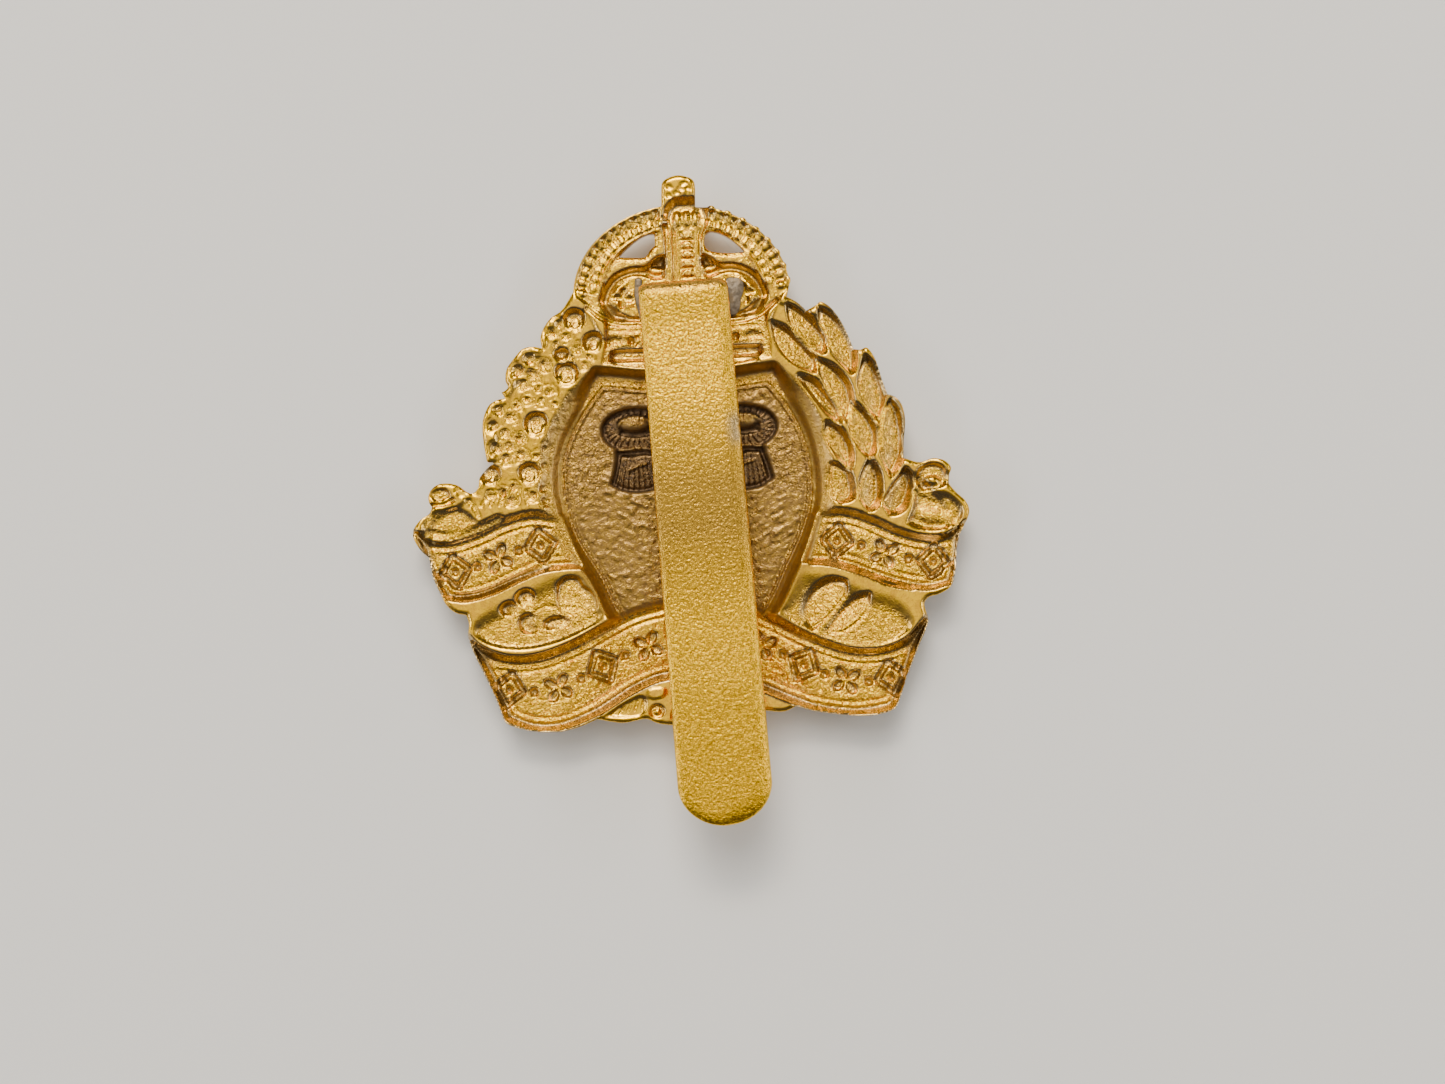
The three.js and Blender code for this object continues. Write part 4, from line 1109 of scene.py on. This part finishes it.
class Shader:
    """A material's node tree, built by short calls."""

    def __init__(self, name, **fixed):
        self.material = bpy.data.materials.new(name)
        self.material.use_nodes = True
        self.tree = self.material.node_tree
        self.surface = self.tree.nodes["Principled BSDF"]
        for socket, value in fixed.items():
            self.surface.inputs[socket.replace("_", " ")].default_value = value
        place = self.node("ShaderNodeTexCoord").outputs["Object"]
        self.place = self.scaled(place, (1 / MM, 1 / MM, 1 / MM))

    def node(self, kind, **settings):
        made = self.tree.nodes.new(kind)
        for key, value in settings.items():
            setattr(made, key, value)
        return made

    def link(self, source, target):
        self.tree.links.new(source, target)

    def feed(self, socket, value):
        if isinstance(value, bpy.types.NodeSocket):
            self.link(value, socket)
        else:
            socket.default_value = value

    def scaled(self, vector, scale, turn=0.0):
        made = self.node("ShaderNodeMapping")
        made.inputs["Scale"].default_value = scale
        made.inputs["Rotation"].default_value = (0, 0, turn)
        self.link(vector, made.inputs["Vector"])
        return made.outputs["Vector"]

    def attribute(self, name):
        return self.node("ShaderNodeAttribute", attribute_name=name).outputs["Fac"]

    def noise(self, scale, detail=2.0, roughness=0.5, vector=None, distortion=0.0):
        made = self.node("ShaderNodeTexNoise")
        self.link(vector or self.place, made.inputs["Vector"])
        made.inputs["Scale"].default_value = scale
        made.inputs["Detail"].default_value = detail
        made.inputs["Roughness"].default_value = roughness
        made.inputs["Distortion"].default_value = distortion
        return made.outputs["Fac"]

    def math(self, operation, a, b):
        made = self.node("ShaderNodeMath", operation=operation)
        for socket, value in zip(made.inputs, (a, b)):
            self.feed(socket, value)
        return made.outputs[0]

    def times(self, a, b):
        return self.math("MULTIPLY", a, b)

    def plus(self, a, b):
        return self.math("ADD", a, b)

    def minus(self, a, b):
        return self.math("SUBTRACT", a, b)

    def larger(self, a, b):
        return self.math("MAXIMUM", a, b)

    def remap(self, value, low, high, to_low=0.0, to_high=1.0):
        made = self.node("ShaderNodeMapRange")
        for socket, setting in zip(made.inputs, (value, low, high, to_low, to_high)):
            self.feed(socket, setting)
        return made.outputs[0]

    def mix(self, share, a, b):
        made = self.node("ShaderNodeMix", data_type="RGBA")
        self.feed(made.inputs[0], share)
        for socket, value in zip((made.inputs[6], made.inputs[7]), (a, b)):
            self.feed(socket, (*value, 1.0) if isinstance(value, tuple) else value)
        return made.outputs[2]

    def bump(self, height, distance_mm, strength=1.0, normal=None):
        made = self.node("ShaderNodeBump")
        self.feed(made.inputs["Strength"], strength)
        made.inputs["Distance"].default_value = distance_mm * MM
        self.link(height, made.inputs["Height"])
        if normal:
            self.link(normal, made.inputs["Normal"])
        return made.outputs["Normal"]

    def finish(self, colour=None, roughness=None, normal=None):
        for name, value in (("Base Color", colour), ("Roughness", roughness), ("Normal", normal)):
            if value is not None:
                self.link(value, self.surface.inputs[name])
        return self.material


def gilding_metal():
    s = Shader("gilding_metal", Metallic=1.0)
    hollow, ridge, steep = (s.attribute(n) for n in ("hollow", "ridge", "steepness"))
    toning, grime, grained = s.attribute("toning"), s.attribute("grime"), s.attribute("grained")
    blotches = s.noise(0.35, 3.0, 0.55)
    fine = s.noise(3.4, 2.0, 0.6)
    grain = s.noise(2.2, 2.0, 0.6)
    bright, gold = (1.0, 0.575, 0.014), (0.8, 0.43, 0.025)
    brown, dark = (0.27, 0.185, 0.13), (0.09, 0.06, 0.043)
    toned, wall = (0.28, 0.163, 0.055), (0.4, 0.305, 0.165)
    colour = s.mix(s.remap(grain, 0.38, 0.62), gold, bright)
    colour = s.mix(s.times(toning, s.remap(fine, 0.35, 0.6, 0.72, 0.95)), colour, toned)
    steep = s.remap(steep, 0.08, 0.42)
    dirt = s.plus(s.remap(hollow, 0.56, 1.0, 0.0, 0.7), s.remap(blotches, 0.4, 0.75, 0.0, 0.2))
    dirt = s.plus(dirt, s.times(grained, s.remap(fine, 0.52, 0.68, 0.0, 0.35)))
    dirt = s.minus(dirt, s.times(ridge, 0.6))
    colour = s.mix(s.remap(dirt, 0.3, 1.3, 0.0, 0.95), colour, brown)
    # Steep walls take a brown wall colour: partly their toning, partly painted shade, strongest on walls that
    # face the foot.
    colour = s.mix(s.times(steep, s.remap(toning, 0.0, 0.55, 0.85, 0.4)), colour, wall)
    # Near-black: patina in the tightest hollows, and grime with painted shade in the deepest zones.
    black = s.times(s.remap(hollow, 0.85, 1.0, 0.0, 0.35), s.remap(fine, 0.35, 0.6))
    black = s.larger(black, s.times(grime, s.remap(fine, 0.35, 0.62, 1.0, 0.55)))
    black = s.minus(black, s.times(ridge, 0.25))
    colour = s.mix(s.remap(black, 0.0, 1.0, 0.0, 0.95), colour, dark)
    rough = s.plus(s.remap(fine, 0.3, 0.7, 0.13, 0.25), s.remap(dirt, 0.2, 1.0, 0.0, 0.12))
    rough = s.plus(rough, s.times(toning, s.remap(steep, 0.0, 1.0, 0.12, 0.4)))
    normal = s.bump(s.noise(3.3, 2.0, 0.55, distortion=1.0), 0.13, s.remap(grained, 0.0, 1.0, 0.15, 1.0))
    normal = s.bump(s.noise(6.0, 1.0, 0.5), 0.03, s.remap(grained, 0.0, 1.0, 0.2, 1.0), normal)
    return s.finish(colour, rough, normal)


def slider_brass():
    s = Shader("slider_brass", Metallic=1.0)
    edge, run, bend, side = (s.attribute(n) for n in ("edge", "run", "bend", "side"))
    rolled = s.noise(4.4, 2.0, 0.6, s.scaled(s.place, (1.0, 0.9, 1.0), STRIP_TILT))
    blotches = s.noise(0.4, 3.0, 0.6)
    colour = s.mix(s.remap(rolled, 0.36, 0.6), (0.76, 0.4, 0.005), (1.0, 0.58, 0.006))
    colour = s.mix(s.remap(blotches, 0.45, 0.8, 0.0, 0.3), colour, (0.5, 0.27, 0.012))
    # Brighter towards the edges: rubbed edges, and a painted edge highlight.
    colour = s.mix(s.remap(edge, 0.3, 0.9, 0.0, 0.4), colour, (1.0, 0.64, 0.08))
    # Painted shade: the middle third of the strip and its top bend are darkened, standing for dark
    # reflections there.
    dull = s.times(s.remap(run, 0.27, 0.42), s.remap(run, 0.66, 0.5))
    dull = s.larger(s.times(dull, 0.78), s.remap(bend, 0.12, 0.5, 0.0, 0.85))
    colour = s.mix(dull, colour, (0.42, 0.24, 0.045))
    # A grey bruise beside the right edge, a third of the way down.
    bruise = s.times(s.remap(run, 0.3, 0.325), s.remap(run, 0.385, 0.35))
    bruise = s.times(s.remap(side, 0.62, 0.85), bruise)
    bruise = s.times(bruise, s.remap(blotches, 0.3, 0.5))
    colour = s.mix(s.times(bruise, 0.7), colour, (0.42, 0.33, 0.2))
    rough = s.plus(s.remap(rolled, 0.3, 0.7, 0.13, 0.24), s.remap(blotches, 0.4, 0.8, 0.0, 0.08))
    normal = s.bump(rolled, 0.1, s.remap(edge, 0.25, 0.75, 0.9, 0.6))
    drawn = s.noise(6.5, 1.0, 0.5, s.scaled(s.place, (2.0, 0.22, 1.0), STRIP_TILT))
    normal = s.bump(drawn, 0.03, 0.9, normal)
    return s.finish(colour, rough, normal)


def solder_grey():
    s = Shader("solder_grey", Metallic=1.0)
    dull = s.noise(2.2, 3.0, 0.6)
    colour = s.mix(s.remap(dull, 0.35, 0.65), (0.16, 0.125, 0.085), (0.3, 0.245, 0.18))
    stained = s.noise(0.8, 2.0, 0.5)
    colour = s.mix(s.remap(stained, 0.45, 0.7, 0.0, 0.7), colour, (0.3, 0.18, 0.06))
    rough = s.remap(dull, 0.3, 0.7, 0.42, 0.62)
    normal = s.bump(s.noise(4.0, 3.0, 0.6), 0.06, 0.8)
    return s.finish(colour, rough, normal)


# ---------------------------------------------------------------- the stage

FLOOR_SIZE = 1600
FLOOR_DROP = 0.05  # keeps the floor clear of the badge's lowest faces


def floor_and_lights():
    bpy.ops.mesh.primitive_plane_add(size=FLOOR_SIZE * MM, location=(0, 0, -FLOOR_DROP * MM))
    floor = bpy.context.object
    floor.name = "stage_floor"
    s = Shader("floor_paper", Roughness=0.8)
    s.surface.inputs["Base Color"].default_value = (0.88, 0.875, 0.86, 1)
    floor.data.materials.append(s.material)

    soft_sky()
    for name, place, size, power, colour in (
        ("key", (-0.04, 0.33, 0.36), (0.2, 0.08), 0.95, (1.0, 0.9, 0.75)),
        ("left", (-0.42, 0.0, 0.26), (0.4, 0.07), 0.55, (1, 0.97, 0.92)),
        ("right", (0.42, 0.0, 0.27), (0.4, 0.07), 0.55, (1, 0.97, 0.92)),
    ):
        light = bpy.data.lights.new(name, "AREA")
        light.shape = "RECTANGLE"
        light.size, light.size_y = size
        light.energy = power
        light.color = colour
        obj = bpy.data.objects.new(name, light)
        obj.location = place
        obj.rotation_euler = (-obj.location).to_track_quat("-Z", "Y").to_euler()
        bpy.context.scene.collection.objects.link(obj)


def soft_sky():
    """A dim room with a soft lamp overhead, towards the badge's top, and faint ones at its sides."""
    world = bpy.data.worlds.new("studio")
    bpy.context.scene.world = world
    world.use_nodes = True
    tree = world.node_tree
    made = lambda kind: tree.nodes.new(kind)
    direction = made("ShaderNodeTexCoord").outputs["Generated"]

    def glow(axis, stops):
        """Brightness by the angle from an axis, given as stops of an angle in degrees and a level."""
        dot = made("ShaderNodeVectorMath")
        dot.operation = "DOT_PRODUCT"
        tree.links.new(direction, dot.inputs[0])
        dot.inputs[1].default_value = Vector(axis).normalized()
        ramp = made("ShaderNodeValToRGB")
        ramp.color_ramp.interpolation = "EASE"
        while len(ramp.color_ramp.elements) < len(stops):
            ramp.color_ramp.elements.new(0.5)
        for element, (angle, level) in zip(ramp.color_ramp.elements, stops):
            element.position = math.cos(math.radians(angle))
            element.color = (level, level, level, 1)
        tree.links.new(dot.outputs["Value"], ramp.inputs[0])
        return ramp.outputs[0]

    total = glow((0, 0, 1), [(90, 0.1), (55, 0.12), (32, 0.19), (14, 0.94), (5, 1.25)])
    lamps = (
        ((-0.1, 0.64, 0.77), [(25, 0.0), (15, 0.8), (6, 1.0)], 5.8),
        ((-0.8, 0, 0.6), [(42, 0.0), (25, 0.7), (10, 1.0)], 0.32),
        ((0.8, 0, 0.6), [(42, 0.0), (25, 0.7), (10, 1.0)], 0.26),
        ((-1, 0, 0.12), [(38, 0.0), (20, 0.6), (8, 1.0)], 0.24),
        ((1, 0, 0.12), [(38, 0.0), (20, 0.6), (8, 1.0)], 0.22),
    )
    for axis, stops, strength in lamps:
        sum_of = made("ShaderNodeMath")
        sum_of.operation = "MULTIPLY_ADD"
        tree.links.new(glow(axis, stops), sum_of.inputs[0])
        sum_of.inputs[1].default_value = strength
        tree.links.new(total, sum_of.inputs[2])
        total = sum_of.outputs[0]
    background = tree.nodes["Background"]
    background.inputs["Color"].default_value = (1.0, 0.95, 0.87, 1)
    tree.links.new(total, background.inputs["Strength"])


CAMERA_DISTANCE = 172.0
CAMERA_PLANE = 3.0  # height of the badge's own plane
CAMERA_ACROSS = 115.6  # how much of that plane the frame spans
CAMERA_AIM = (2.4, -7.07)  # the frame's middle, from the crown's centre line
CAMERA_ROLL = math.radians(-2.5)


def camera():
    data = bpy.data.cameras.new("camera")
    cam = bpy.data.objects.new("camera", data)
    bpy.context.scene.collection.objects.link(cam)
    bpy.context.scene.camera = cam
    data.sensor_fit = "HORIZONTAL"
    data.angle = 2 * math.atan(CAMERA_ACROSS / 2 / CAMERA_DISTANCE)
    data.clip_start = 0.005
    cam.location = tuple(np.append(ORIGIN + CAMERA_AIM, CAMERA_PLANE + CAMERA_DISTANCE) * MM)
    cam.rotation_euler = (0, 0, CAMERA_ROLL)


camera()
floor_and_lights()
plate, struck_depth = badge_plate()
strip = slider()
blob = solder_joint(struck_depth)
for piece, node, slot, material in (
    (plate, "badge_plate", "gilding_metal", gilding_metal()),
    (strip, "slider", "slider_brass", slider_brass()),
    (blob, "solder_joint", "solder", solder_grey()),
):
    piece.data.materials.append(material)
    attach(piece, "root")
    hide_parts(node)
